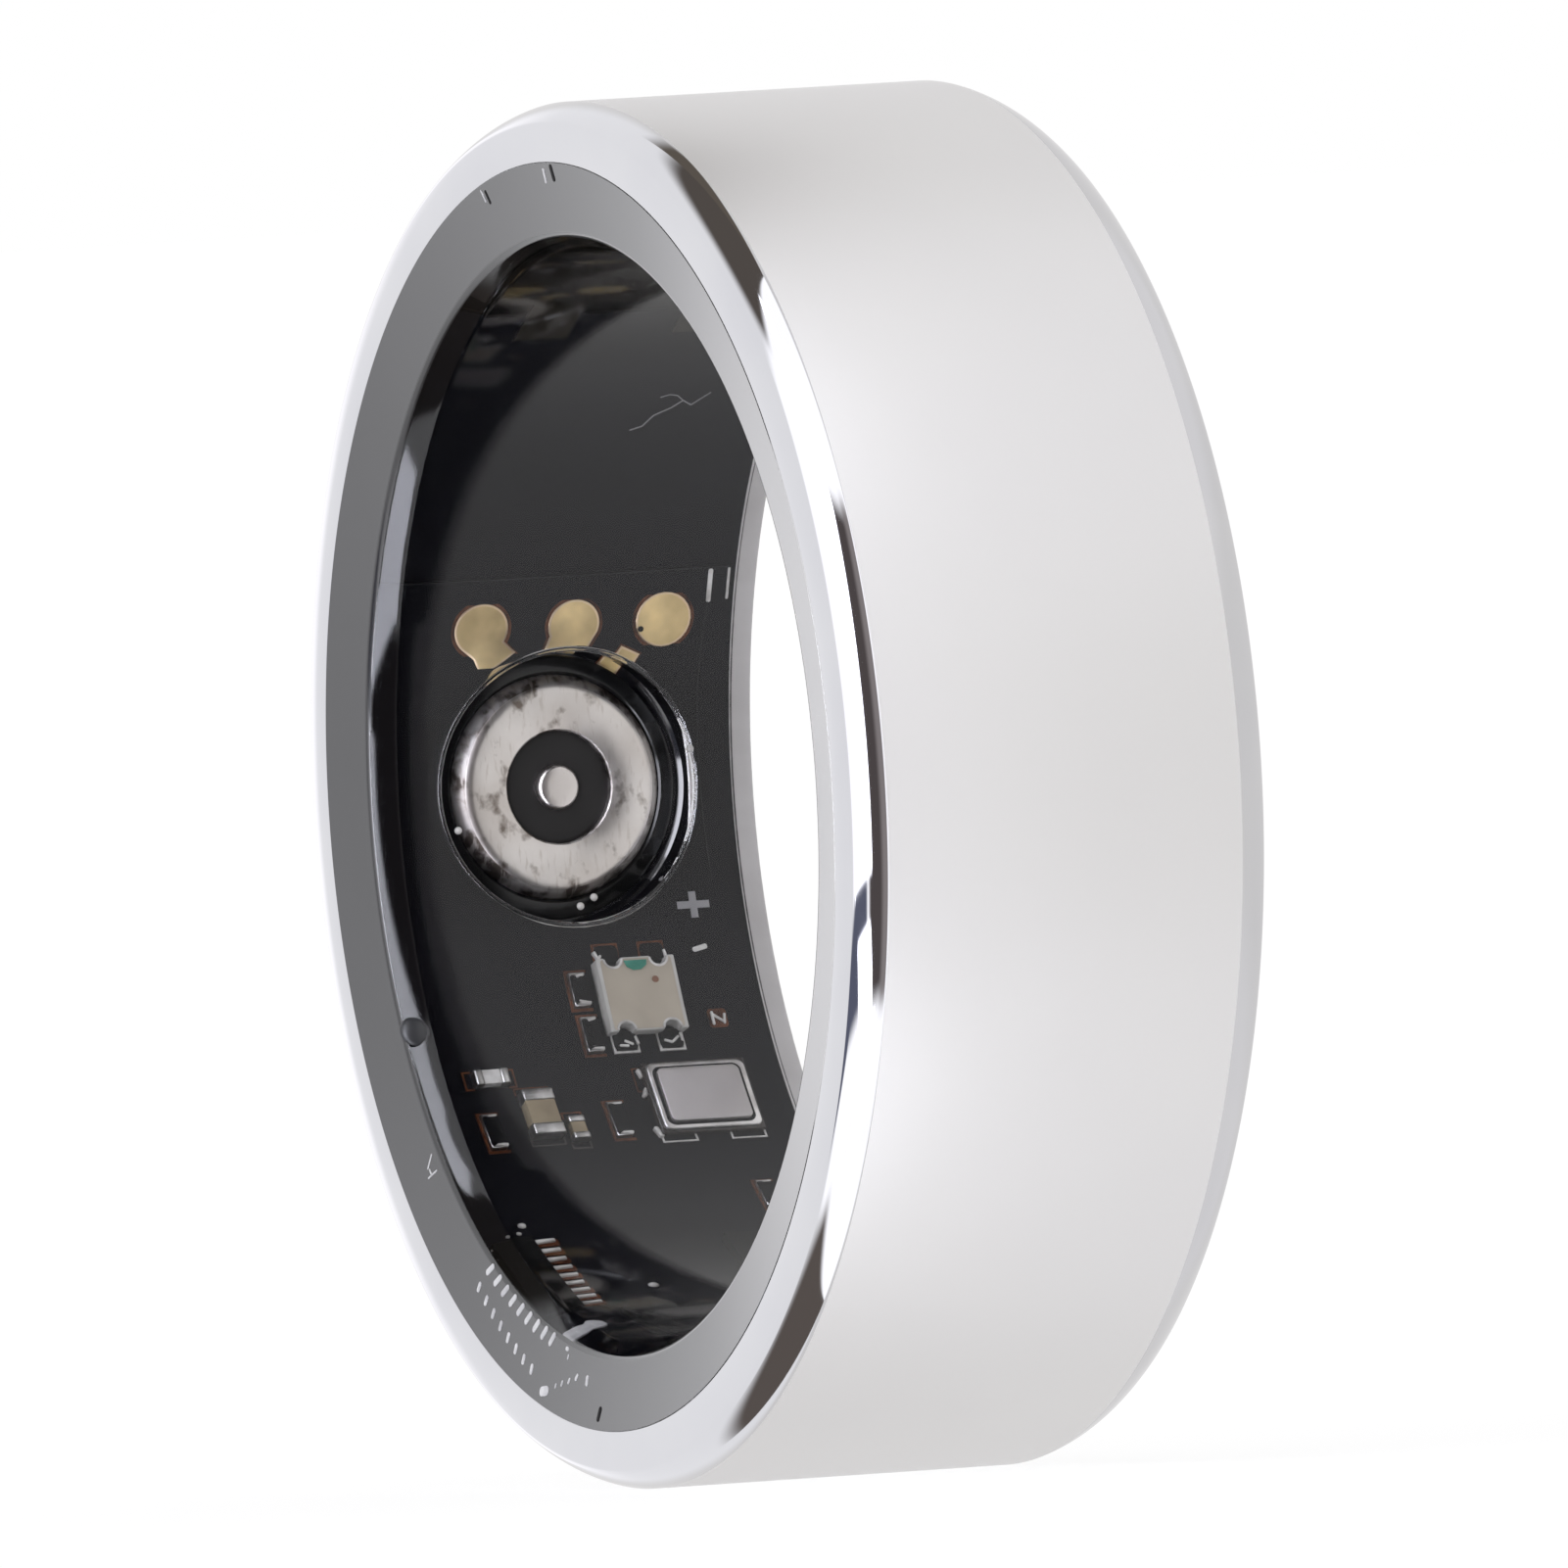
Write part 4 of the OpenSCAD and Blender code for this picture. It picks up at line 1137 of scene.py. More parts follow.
@dataclass
class GoldLands:
    """Gold lands with round heads, and the tails that lead under the contact's collar.

    Args:
        height: Height of the plating over the board.
        edge: Rounding of its edge.
        rim: Width of the bright rim, a painted highlight.
        gap: How much wider the opening in the mask is, as a share.
        via: Run and shift of the plated hole in the last head.
        via_r: Its radius.
    """

    height: float = 0.03
    edge: float = 0.012
    rim: float = 0.03
    gap: float = 1.13
    via: Point = (-2.86, 1.7)
    via_r: float = 0.055

    def outlines(self) -> dict[str, tuple[float, float, list[Point]]]:
        """Draws the lands.

        Returns:
            Run, shift and outline of each land, seen with the contact below it.
        """
        return {
            "left_land": (-3.02, -1.36, [*arc((0, 0), 0.51, -28, 236, 28), (-0.12, -0.56), (0.02, -0.88),
                                         (0.34, -0.72), (0.68, -0.46), (0.55, -0.34)]),
            "middle_land": (-3.02, 0.41, [*arc((0, 0), 0.49, -18, 204, 22), (-0.58, -0.56), (0.18, -0.68),
                                          (0.29, -0.46)]),
            "right_land": (-3.02, 2.13, arc((0, 0), 0.53, 0, 345, 23)),
            "thin_tail": (-2.24, 1.38, [(-0.03, 0.32), (0.33, 0.14), (-0.01, -0.36), (-0.34, -0.1)]),
        }

    def build(self) -> None:
        """Makes the lands and the dark edges of the mask's openings round them."""
        lands, openings = [], []
        for name, (run, shift, outline) in self.outlines().items():
            place = on_board(run, shift)
            land = plate(name, outline, self.height, self.edge)
            with editing(land):
                pick(land, Pick.FACES, lambda co, normal: normal.z > 0.99 and co.z > self.height / 2)
                bpy.ops.mesh.inset(thickness=self.rim)
            widest = max(land.data.polygons, key=lambda face: (face.normal.z > 0.99) * face.area).index
            zoned(land, (GOLD, GOLD_RIM_PAINTED_HIGHLIGHT), lambda face: GOLD if face.index == widest else GOLD_RIM_PAINTED_HIGHLIGHT, 40)
            lands.append(placed(land, place))
            opening = plate(f"{name}_opening", [(x * self.gap, y * self.gap) for x, y in outline], self.height / 2)
            openings.append(laid(opening, COPPER_EDGE, place))
        carried(joined("gold_land_heads", lands), "gold", "gold_lands")
        carried(joined("gold_land_openings", openings), None)
        via = turned("via", [(0, 0), (self.via_r, 0), (self.via_r, 0.02), (0, 0.02)], 16)
        centre = on_board(*self.via, RING.board_r - self.height)
        carried(laid(via, BLACK_GLAZE, centre @ UPRIGHT), "black_board")


@dataclass(frozen=True)
class Mounted:
    """A part on the board.

    Args:
        run: Run of its middle.
        shift: Shift of its middle.
        w: Its width, along the ring's axis.
        l: Its length, up the arc.
        height: Its height over the board.
    """

    run: float
    shift: float
    w: float
    l: float
    height: float

    def at(self, x: float = 0, y: float = 0, height: float = 0, turn: float = 0) -> Matrix:
        """Frame of a place on the part: right, up and height from its middle, turned in degrees."""
        return on_board(self.run - y, self.shift + x, RING.board_r - height) @ spun(turn)


@dataclass(frozen=True)
class LightSource(Mounted):
    """Light package with four soldered corners, a cream window and a green edge.

    Args:
        notch_r: Radius of the soldered notches.
        notch_x: Distance of the notches from the middle.
        frame: Width of the frame round the window.
        glints: Right, up and turn of each painted glint on the solder.
    """

    run: float = 4.09
    shift: float = 1.08
    w: float = 1.5
    l: float = 1.45
    height: float = 0.45
    notch_r: float = 0.17
    notch_x: float = 0.44
    frame: float = 0.07
    glints: tuple[Triple, ...] = (
        (-0.66, 0.86, 20), (-0.62, 0.79, -30), (0.66, 0.82, 10), (-0.4, -0.92, 60), (-0.5, -0.98, 85),
        (0.5, -0.9, -50), (0.36, -0.94, 70), (-0.24, -0.88, 10), (0.62, -0.86, 5))

    def notched(self, obj: Object, radius: float) -> Object:
        """Cuts the four notches into a piece.

        Args:
            obj: The piece.
            radius: Radius of the notches.

        Returns:
            The piece.
        """
        for sx, sy in CORNERS:
            cutter = turned("notch", [(0, -1), (radius, -1), (radius, 1), (0, 1)], 32)
            cut_out(obj, cutter, Matrix.Translation((sx * self.notch_x, sy * self.l / 2, 0)) @ UPRIGHT)
        return obj

    def solder(self) -> list[Object]:
        """Makes the plated notches and the solder at the four corners, with painted light: dark feet, bright lower
        rails and glints.

        Returns:
            Their pieces.
        """
        inner, outer = self.notch_r - 0.02, self.notch_r + 0.025
        crescent = [*arc((0, 0), outer, 0, 180, 12), *arc((0, 0), inner, 180, 0, 12)]
        pieces = []
        for sx, sy in CORNERS:
            x, y = sx * self.notch_x, self.l / 2
            ring = plate("notch_plating", crescent, self.height, 0.008)
            # Black solder feet: a painted dark reflection in the solder.
            foot = plate("solder_foot_painted_dark", rounded(0.46, 0.4, 0.12), 0.16, 0.1, 4)
            # Rails above are bare copper, rails below bright tin: the lower ones carry painted highlight.
            rail = plate("solder_rail", bracket(0.42, 0.5, 0.05), 0.07, 0.02)
            pieces += [laid(ring, TIN_PAINTED_SHINE, self.at(x, sy * y, 0.01, 90 + 90 * sy)),
                       laid(foot, BLACK_GLAZE, self.at(x, sy * (y + 0.14)), 60),
                       laid(rail, COPPER_EDGE if sy > 0 else TIN_PAINTED_SHINE, self.at(x, sy * (y + 0.17), 0, -90 * sy), 50)]
        # Painted glints on the solder.
        for x, y, turn in self.glints:
            glint = plate("painted_solder_glint", rounded(0.05, 0.18, 0.022), 0.17, 0.02)
            pieces.append(laid(glint, TIN_PAINTED_SHINE, self.at(x, y, 0.03, turn), 50))
        return pieces

    def build(self) -> None:
        """Makes the package and what is set on it."""
        body = self.notched(block("light_package", self.w, self.l, self.height, 0.03), self.notch_r)
        carried(laid(body, CERAMIC, self.at()), "led_package", "led_body")
        pane = plate("light_window", rounded(self.w - 2 * self.frame, self.l - self.frame, 0.05), 0.02, 0.008)
        window = laid(self.notched(pane, self.notch_r + 0.03), CREAM, self.at(height=self.height - 0.01))
        carried(window, "led_window", "led_window", "led_dies")
        half_round = [(-0.24, 0), (-0.2, -0.12), (-0.08, -0.19), (0.07, -0.18), (0.18, -0.1), (0.2, 0)]
        top = self.height + 0.008
        for name, outline, thick, finish, x, y in (
                ("green_edge", half_round, 0.012, GREEN, 0, self.l / 2 - 0.05),
                ("brown_spot", arc((0, 0), 0.065, 0, 330, 11), 0.01, BROWN_DOT, 0.3, 0.27)):
            carried(laid(plate(name, outline, thick), finish, self.at(x, y, top)), "led_window")
        carried(joined("light_solder", self.solder()), "solder")


@dataclass(frozen=True)
class TimingCrystal(Mounted):
    """Ceramic base with a bright seam ring and a raised lid, its face left bare.

    Args:
        base: Height of the base.
        rails: Right, up, turn, width, length and bar of each edge of solder at its foot; those turned across are
            bright, a painted highlight.
        drops: Right, up, width, length and turn of each bright drop of solder, a painted glint.
    """

    run: float = 6.28
    shift: float = 1.76
    w: float = 2.0
    l: float = 1.6
    height: float = 0.44
    base: float = 0.22
    rails: tuple[tuple[float, ...], ...] = (
        (-0.66, -0.86, 90, 0.2, 0.68, 0.035), (0.66, -0.86, 90, 0.2, 0.68, 0.035), (-1.06, 0.5, 0, 0.18, 0.52, 0.03))
    drops: tuple[Five, ...] = (
        (-1.02, 0.2, 0.09, 0.22, -25), (-1.02, 0.62, 0.07, 0.2, 15), (-1.03, -0.72, 0.1, 0.26, 20))

    def build(self) -> None:
        """Makes the base, the seam, the lid and the solder round its foot."""
        base = block("crystal_ceramic_base", self.w, self.l, self.base, 0.03)
        carried(laid(base, FLUX, self.at()), "crystal_ceramic", "crystal_base")
        cover = []
        for name, inset, radius, thick, edge, finish, angle, height in (
                ("crystal_seam", 0.1, 0.16, 0.1, 0.05, SEAM, 50, self.base),
                ("crystal_face", 0.42, 0.13, 0.12, 0.03, LID, 50, self.height - 0.13),
                ("crystal_groove", 0.3, 0.16, 0.012, 0, BLACK_GLAZE, 30, self.base + 0.1)):
            layer = plate(name, rounded(self.w - inset, self.l - inset, radius), thick, edge, 3)
            cover.append(laid(layer, finish, self.at(height=height), angle))
        carried(joined("crystal_cover", cover), "crystal_metal", "crystal_lid")
        solder = []
        for x, y, turn, w, l, bar in self.rails:
            rail = plate("crystal_rail", bracket(w, l, bar), 0.04, 0.012)
            # Rails turned across are bright tin, painted highlight; the other is bare copper.
            solder.append(laid(rail, TIN_PAINTED_SHINE if turn else COPPER_EDGE, self.at(x, y, 0, turn), 50))
        for x, y, w, l, turn in self.drops:
            # Bright drops: painted glints.
            bead = plate("crystal_drop", rounded(w, l, w / 2.2), 0.14, 0.03)
            solder.append(laid(bead, TIN_PAINTED_SHINE, self.at(x, y, 0, turn), 50))
        carried(joined("crystal_solder", solder), "solder")


@dataclass(frozen=True)
class Capacitor(Mounted):
    """A chip capacitor, lengthwise up the arc before its turn.

    Args:
        name: Its name.
        cap: Length of an end cap.
        turn: Its turn on the board, in degrees.
        finish: Finish of its body.
        slot: Material slot of its body.
        nodes: The nodes that its body and its end caps stand for.
    """

    name: str
    cap: float
    turn: float
    finish: SolidFinish
    slot: str
    nodes: tuple[str, ...] = ()

    def build(self) -> list[Object]:
        """Makes the capacitor.

        Returns:
            The bare edges of its solder, which are joined with those of the other parts.
        """
        place = self.at(turn=self.turn)
        core = block(f"{self.name}_capacitor", self.w - 0.04, self.l - 0.1, self.height - 0.02, 0.02)
        carried(laid(core, self.finish, place), self.slot, *self.nodes[:1])
        caps, edges = [], []
        for side in (-1, 1):
            cap = block(f"{self.name}_cap", self.w, self.cap, self.height, 0.04)
            caps.append(laid(cap, CAP_TIN, place @ Matrix.Translation((0, side * (self.l - self.cap) / 2, 0)), 50))
            rail = plate("capacitor_edge", bracket(0.16, self.w + 0.06, 0.03), 0.05)
            spot = place @ Matrix.Translation((0, side * (self.l / 2 + 0.08), 0)) @ spun(-90 * side)
            edges.append(laid(rail, COPPER_EDGE if side > 0 or self.turn else FLUX, spot))
        carried(joined(f"{self.name}_capacitor_ends", caps), "solder", *self.nodes[1:])
        return edges


@dataclass
class SmallParts:
    """Resistors and capacitors with their bright solder, partly painted glints, and bare copper edges.

    Args:
        resistors: Run, shift and length of each resistor.
        capacitors: The capacitors.
        chip_w: Width of a resistor.
        chip_h: Height of a resistor.
        bar: Width of the bright edge of its solder.
        arm: Reach of that edge's arms.
        lone: The lone land.
        glints: Right, up, width and turn of each painted glint on the lone land.
    """

    resistors: tuple[Triple, ...] = (
        (3.87, -0.01, 0.66), (4.79, 0.03, 0.72), (6.66, 0.07, 0.78), (6.74, -2.35, 0.78), (8.75, 2.27, 0.7))
    capacitors: tuple[Capacitor, ...] = (
        Capacitor(6.45, -1.38, 0.6, 1.02, 0.42, "brown", 0.26, 0, BROWN_CERAMIC, "capacitor_brown",
                  ("brown_capacitor", "brown_capacitor_caps")),
        Capacitor(6.82, -0.78, 0.32, 0.54, 0.3, "small", 0.16, 0, BROWN_CERAMIC, "capacitor_dark",
                  ("small_capacitors", "small_capacitor_caps")),
        # The level capacitor's body is bright tin, a painted glint along it.
        Capacitor(5.56, -2.1, 0.34, 0.66, 0.3, "level", 0.17, 90, TIN_PAINTED_SHINE, "part_caps"))
    chip_w: float = 0.3
    chip_h: float = 0.23
    bar: float = 0.04
    arm: float = 0.3
    lone: Mounted = Mounted(4.58, 2.52, 0.36, 0.38, 0.03)
    glints: tuple[tuple[float, ...], ...] = ((-0.1, 0, 0.28, 90), (0, 0, 0.3, -40), (0.12, -0.02, 0.22, 80))

    def build(self) -> None:
        """Makes the parts in their groups."""
        bodies, rails, edges = [], [], []
        for run, shift, l in self.resistors:
            place = on_board(run, shift)
            bodies.append(laid(block("resistor", self.chip_w, l - 0.12, self.chip_h, 0.02), BLACK_GLAZE, place))
            rail = plate("resistor_rail", bracket(self.arm, l, self.bar), self.chip_h - 0.04, 0.02)
            rails.append(laid(rail, CAP_TIN, place @ Matrix.Translation((-0.01, 0, 0)), 50))
            # Bright plates at each resistor's ends: end caps drawn as painted glints.
            for side, w in ((-1, 0.27), (1, 0.2)):
                cap = plate("resistor_cap", rounded(w, 0.1, 0.04, 3), self.chip_h, 0.03)
                spot = place @ Matrix.Translation((0.03, side * (l / 2 - 0.08), 0)) @ spun(14 * side)
                rails.append(laid(cap, TIN_PAINTED_SHINE, spot, 50))
            edge = plate("resistor_edge", bracket(self.arm + 0.12, l + 0.16, 0.06), 0.04)
            edges.append(laid(edge, COPPER_EDGE, place))
        carried(joined("resistor_bodies", bodies), "resistor_black", "resistors")
        carried(joined("resistor_solder", rails), "solder", "resistor_caps")
        for capacitor in self.capacitors:
            edges += capacitor.build()
        lone = self.lone
        # Painted glints on the lone land.
        for x, y, w, turn in self.glints:
            glint = plate("painted_lone_glint", rounded(w, 0.05, 0.02, 2), 0.08, 0.02)
            edges.append(laid(glint, TIN_PAINTED_SHINE, lone.at(x, y, 0, turn), 50))
        edges.append(laid(plate("lone_land", rounded(lone.w, lone.l, 0.06, 3), lone.height), COPPER_EDGE, lone.at()))
        carried(joined("copper_edges", edges), None, "solder_lands")


@dataclass
class BoardMarks:
    """Polarity marks, the trace's bright stretches, which are painted highlight, the board's end line and a stray
    fibre.

    Args:
        height: Height of the ink over the board.
        plus: Run and shift of the plus.
        plus_arm: Reach of its level arms.
        plus_bar: Half the width of its bars.
        dash: The dash.
        traces: Run, shift, width and length of each bright stretch of the traces, a painted highlight.
        fibres: Width and places of each stray fibre.
        lines: The same for each faint line.
    """

    height: float = 0.02
    plus: Point = (2.34, 2.48)
    plus_arm: float = 0.31
    plus_bar: float = 0.07
    dash: Mounted = Mounted(3.17, 2.47, 0.3, 0.1, 0.02)
    traces: tuple[tuple[float, ...], ...] = ((-3.62, 2.98, 0.09, 0.66), (-3.64, 3.32, 0.045, 0.62))
    fibres: tuple[tuple[float, tuple[Point, ...]], ...] = (
        (0.03, ((-7.12, 0.89), (-7.2, 1.11), (-7.45, 1.27), (-7.62, 1.57), (-7.79, 1.76), (-7.66, 1.94),
                (-7.95, 2.25))),
        (0.025, ((-7.79, 1.76), (-7.93, 1.62), (-7.97, 1.46), (-7.91, 1.3))))
    lines: tuple[tuple[float, tuple[Point, ...]], ...] = (
        (0.022, ((-3.3, 2.97), (-2.6, 2.9), (-1.6, 2.84), (-0.6, 2.84), (0.6, 2.86), (1.9, 2.9))),
        (0.02, ((-4.0, -2.9), (-3.98, 3.3))))

    def strokes(self, name: str, chains: Sequence[tuple[float, Sequence[Point]]], finish: Finish) -> Object:
        """Draws short strokes from point to point on the board.

        Args:
            name: Name of the whole.
            chains: Width and places of each chain of strokes.
            finish: Their finish.

        Returns:
            The strokes, joined.
        """
        pieces = []
        for w, points in chains:
            for (run, shift), (to_run, to_shift) in zip(points, points[1:]):
                across, up = to_shift - shift, run - to_run
                stroke = plate("stroke", rounded(math.hypot(across, up) + w / 2, w, w / 2.2, 2), self.height / 2)
                middle = on_board((run + to_run) / 2, (shift + to_shift) / 2, RING.board_r - self.height)
                pieces.append(laid(stroke, finish, middle @ Matrix.Rotation(math.atan2(up, across), 4, "Z")))
        return joined(name, pieces)

    def build(self) -> None:
        """Makes the marks."""
        a, b, c = self.plus_arm, self.plus_bar, self.plus_arm * 0.8
        right = [(b, -c), (b, -b), (a, -b), (a, b), (b, b), (b, c)]
        outline = [*right, *[(-x, -y) for x, y in right]]
        plus = laid(plate("plus_mark", outline, self.height, 0.01), INK, on_board(*self.plus))
        dash = plate("dash_mark", rounded(self.dash.w, self.dash.l, 0.045), self.dash.height, 0.01)
        carried(joined("polarity_marks", [plus, laid(dash, TIN_PAINTED_SHINE, self.dash.at(turn=14))]), None)
        # Bright stretches of the trace: painted highlight.
        traces = [
            laid(plate("trace", rounded(w, l, w / 2.2), self.height, 0.008), TIN_PAINTED_SHINE, on_board(run, shift))
            for run, shift, w, l in self.traces
        ]
        carried(joined("trace_painted_highlights", traces), "trace", "antenna_trace")
        carried(self.strokes("stray_fibre", self.fibres, FIBRE), None)
        carried(self.strokes("faint_lines", self.lines, FAINT), "black_board")


@dataclass
class LeadRows:
    """Two rows of small formed leads at the interface chip.

    Args:
        first_run: Run of the first lead.
        pitch: Step from lead to lead.
        count: Leads in a row.
        rows: Shift of each row.
        chip_shift: Shift of the chip.
        chip_w: Width of the chip.
        w: Width of a lead.
        l: Length of a lead.
        dots: Run, shift and radius of each dot of solder near the chip.
        land: The bright lozenge below it, a painted highlight.
    """

    first_run: float = 9.72
    pitch: float = 0.3
    count: int = 9
    rows: tuple[float, ...] = (-3.33, -2.36)
    chip_shift: float = -2.85
    chip_w: float = 0.6
    w: float = 0.13
    l: float = 0.42
    dots: tuple[Triple, ...] = (
        (12.65, -1.8, 0.05), (12.65, -1.35, 0.045), (12.65, -0.93, 0.05), (12.65, -0.58, 0.04), (11.52, -0.94, 0.1),
        (9.13, -2.57, 0.08), (9.35, -2.7, 0.05))
    land: Mounted = Mounted(13.3, -2.9, 0.74, 0.5, 0.12)

    def build(self) -> None:
        """Makes one lead with its solder and repeats it."""
        runs = [self.first_run + i * self.pitch for i in range(self.count)]
        places = [on_board(run, shift) for shift in self.rows for run in runs]
        x = self.l / 2
        bent_over = [(-x, -0.09), (-x + 0.06, -0.03), (x, 0), (x, self.w * 0.7), (-x + 0.04, self.w * 0.6),
                     (-x - 0.06, -0.03)]
        lead = dressed(plate("lead", bent_over, 0.16, 0.045, 3), TIN_PAINTED_SHINE, 60)
        carried(repeated("formed_leads", lead, places), "lead_gold", "sensor_chip_leads")
        chip = block("interface_chip", self.chip_w, self.pitch * self.count, 0.3, 0.03)
        middle = on_board(self.first_run + self.pitch * (self.count - 1) / 2, self.chip_shift)
        carried(laid(chip, MOULD, middle), "chip_black", "sensor_chip")
        dots = [laid(drop("solder_dot", radius, 3), TIN_PAINTED_SHINE, on_board(run, shift) @ UPRIGHT, 60)
                for run, shift, radius in self.dots]
        # A bright lozenge on the board: painted highlight.
        shine = plate("painted_highlight_lozenge", rounded(self.land.w, self.land.l, 0.22), self.land.height, 0.05)
        dots.append(laid(shine, PALE_PAINTED_GLINT, self.land.at(turn=12), 50))
        carried(joined("solder_dots", dots), "solder")
        foot = dressed(plate("lead_foot", rounded(self.l + 0.14, self.w + 0.08, 0.05), 0.05), COPPER_EDGE)
        carried(repeated("lead_feet", foot, places), None)


@dataclass
class EndMarks:
    """Small pale painted glints and dark inlays that show in the near end of the liner.

    Args:
        rows: First and last bearing and radius, count, length, width and turn of each row of pale strokes, which are
            painted glints.
        pale: Bearing, radius, width, length and turn of each pale painted glint.
        dark: The same for each dark mark.
        height: How far a mark stands out.
    """

    rows: tuple[tuple[float, float, float, float, int, float, float, float], ...] = (
        (-123.8, 10.02, -107.4, 10.01, 9, 0.3, 0.12, -26), (-124.4, 10.46, -110.0, 10.72, 8, 0.2, 0.1, 10))
    pale: tuple[Five, ...] = (
        (-106.4, 10.9, 0.34, 0.18, 20), (-104.3, 10.7, 0.05, 0.1, 0), (-103.1, 10.6, 0.06, 0.12, -10),
        (-101.7, 10.5, 0.06, 0.13, -20), (-100.2, 10.38, 0.07, 0.15, -30), (-97.7, 10.37, 0.1, 0.2, 10),
        (-103.6, 10.0, 0.12, 0.08, 0), (-103.0, 10.12, 0.05, 0.1, 0), (-141.0, 10.2, 0.035, 0.3, 30),
        (-139.6, 10.25, 0.035, 0.32, -12), (-140.0, 10.28, 0.16, 0.035, 0), (104.8, 10.96, 0.05, 0.26, 12),
        (90.3, 10.92, 0.07, 0.28, 0))
    dark: tuple[Five, ...] = (
        (104.0, 10.9, 0.07, 0.28, 12), (88.4, 10.97, 0.12, 0.32, 8), (-93.7, 10.88, 0.12, 0.28, -12))
    height: float = 0.012

    def mark(self, finish: Finish, bearing: float, radius: float, w: float, l: float, turn: float) -> Object:
        """Makes one mark on the sloped end.

        Args:
            finish: Its finish.
            bearing: Its bearing round the ring's axis, in degrees.
            radius: Its distance from the axis.
            w: Its width.
            l: Its length.
            turn: Its turn, in degrees.

        Returns:
            The mark.
        """
        angle, slope = math.radians(bearing), ResinLiner().slope()
        outward = Vector((math.cos(angle), 0, math.sin(angle)))
        facing = Vector((-slope * outward.x, -1, -slope * outward.z)).normalized()
        along = (outward - facing * outward.dot(facing)).normalized()
        origin = outward * radius + Vector((0, (RING.flange_r - radius) * slope - RING.half_w, 0))
        place = framed(along.cross(facing), along, facing, origin - facing * self.height / 3)
        piece = plate("end_mark", rounded(w, l, min(w, l) / 2.2, 4), self.height, self.height / 2)
        return laid(piece, finish, place @ spun(turn), 60)

    def build(self) -> None:
        """Makes the marks."""
        # The pale marks are painted glints.
        marks = [self.mark(PALE_PAINTED_GLINT, *values) for values in self.pale]
        for first, first_r, last, last_r, count, l, w, turn in self.rows:
            for share in (i / (count - 1) for i in range(count)):
                bearing, radius = first + (last - first) * share, first_r + (last_r - first_r) * share
                marks.append(self.mark(PALE_PAINTED_GLINT, bearing, radius, w, l, turn))
        carried(joined("pale_painted_glint_marks", marks), None)
        carried(joined("dark_end_marks", [self.mark(DARK_INLAY, *values) for values in self.dark]), None)


@dataclass(frozen=True)
class Panel:
    """A patch of the surround that polished surfaces mirror.

    Args:
        west: Lowest bearing from +X, in degrees.
        east: Highest bearing.
        low: Lowest height, in degrees.
        high: Highest height.
        colour: Its colour, where 1 is white.
        soft: Width of its soft edge, in degrees.
        lean: How far it moves to the east with each degree of height over its lowest.
    """

    west: float
    east: float
    low: float
    high: float
    colour: Triple
    soft: float = 4
    lean: float = 0


HIGH_LAMP = (7.5, 7.6, 8.4)
LOW_LAMP = (8.5, 8.6, 9.6)


class Surround(Graph):
    """The world's nodes, in which panels are hung."""

    def __init__(self, name: str) -> None:
        """Starts a world, with the bearing and the height of every direction in degrees.

        Args:
            name: Name of the world.
        """
        bpy.context.scene.world = bpy.data.worlds.new(name)
        bpy.context.scene.world.use_nodes = True
        super().__init__(bpy.context.scene.world.node_tree)
        place = self.node("ShaderNodeTexCoord").outputs["Generated"]
        split = self.node("ShaderNodeSeparateXYZ", {0: place}).outputs
        self.bearing = self.maths("DEGREES", self.maths("ARCTAN2", split["Y"], split["X"]))
        self.height = self.maths("DEGREES", self.maths("ARCSINE", split["Z"]))

    def rise(self, source: Socket, middle: float, soft: float) -> Socket:
        """Goes smoothly from 0 to 1 over a soft edge."""
        inputs = {"Value": source, "From Min": middle - soft / 2, "From Max": middle + soft / 2}
        return self.node("ShaderNodeMapRange", inputs, interpolation_type="SMOOTHSTEP").outputs["Result"]

    def hang(self, under: object, panel: Panel, mask: Socket | None = None) -> Socket:
        """Hangs a panel over the colours under it.

        Args:
            under: The colours under it.
            panel: The panel.
            mask: 1 for the rays that see it, if not all do.

        Returns:
            The colours with the panel.
        """
        leant = self.maths("MULTIPLY", self.maths("SUBTRACT", self.height, panel.low), panel.lean)
        bearing = self.maths("SUBTRACT", self.bearing, leant)
        for source, low, high in ((bearing, panel.west, panel.east), (self.height, panel.low, panel.high)):
            falling = self.maths("SUBTRACT", 1.0, self.rise(source, high, panel.soft))
            for edge in (self.rise(source, low, panel.soft), falling):
                mask = edge if mask is None else self.maths("MULTIPLY", mask, edge)
        return self.blend(under, panel.colour, mask)


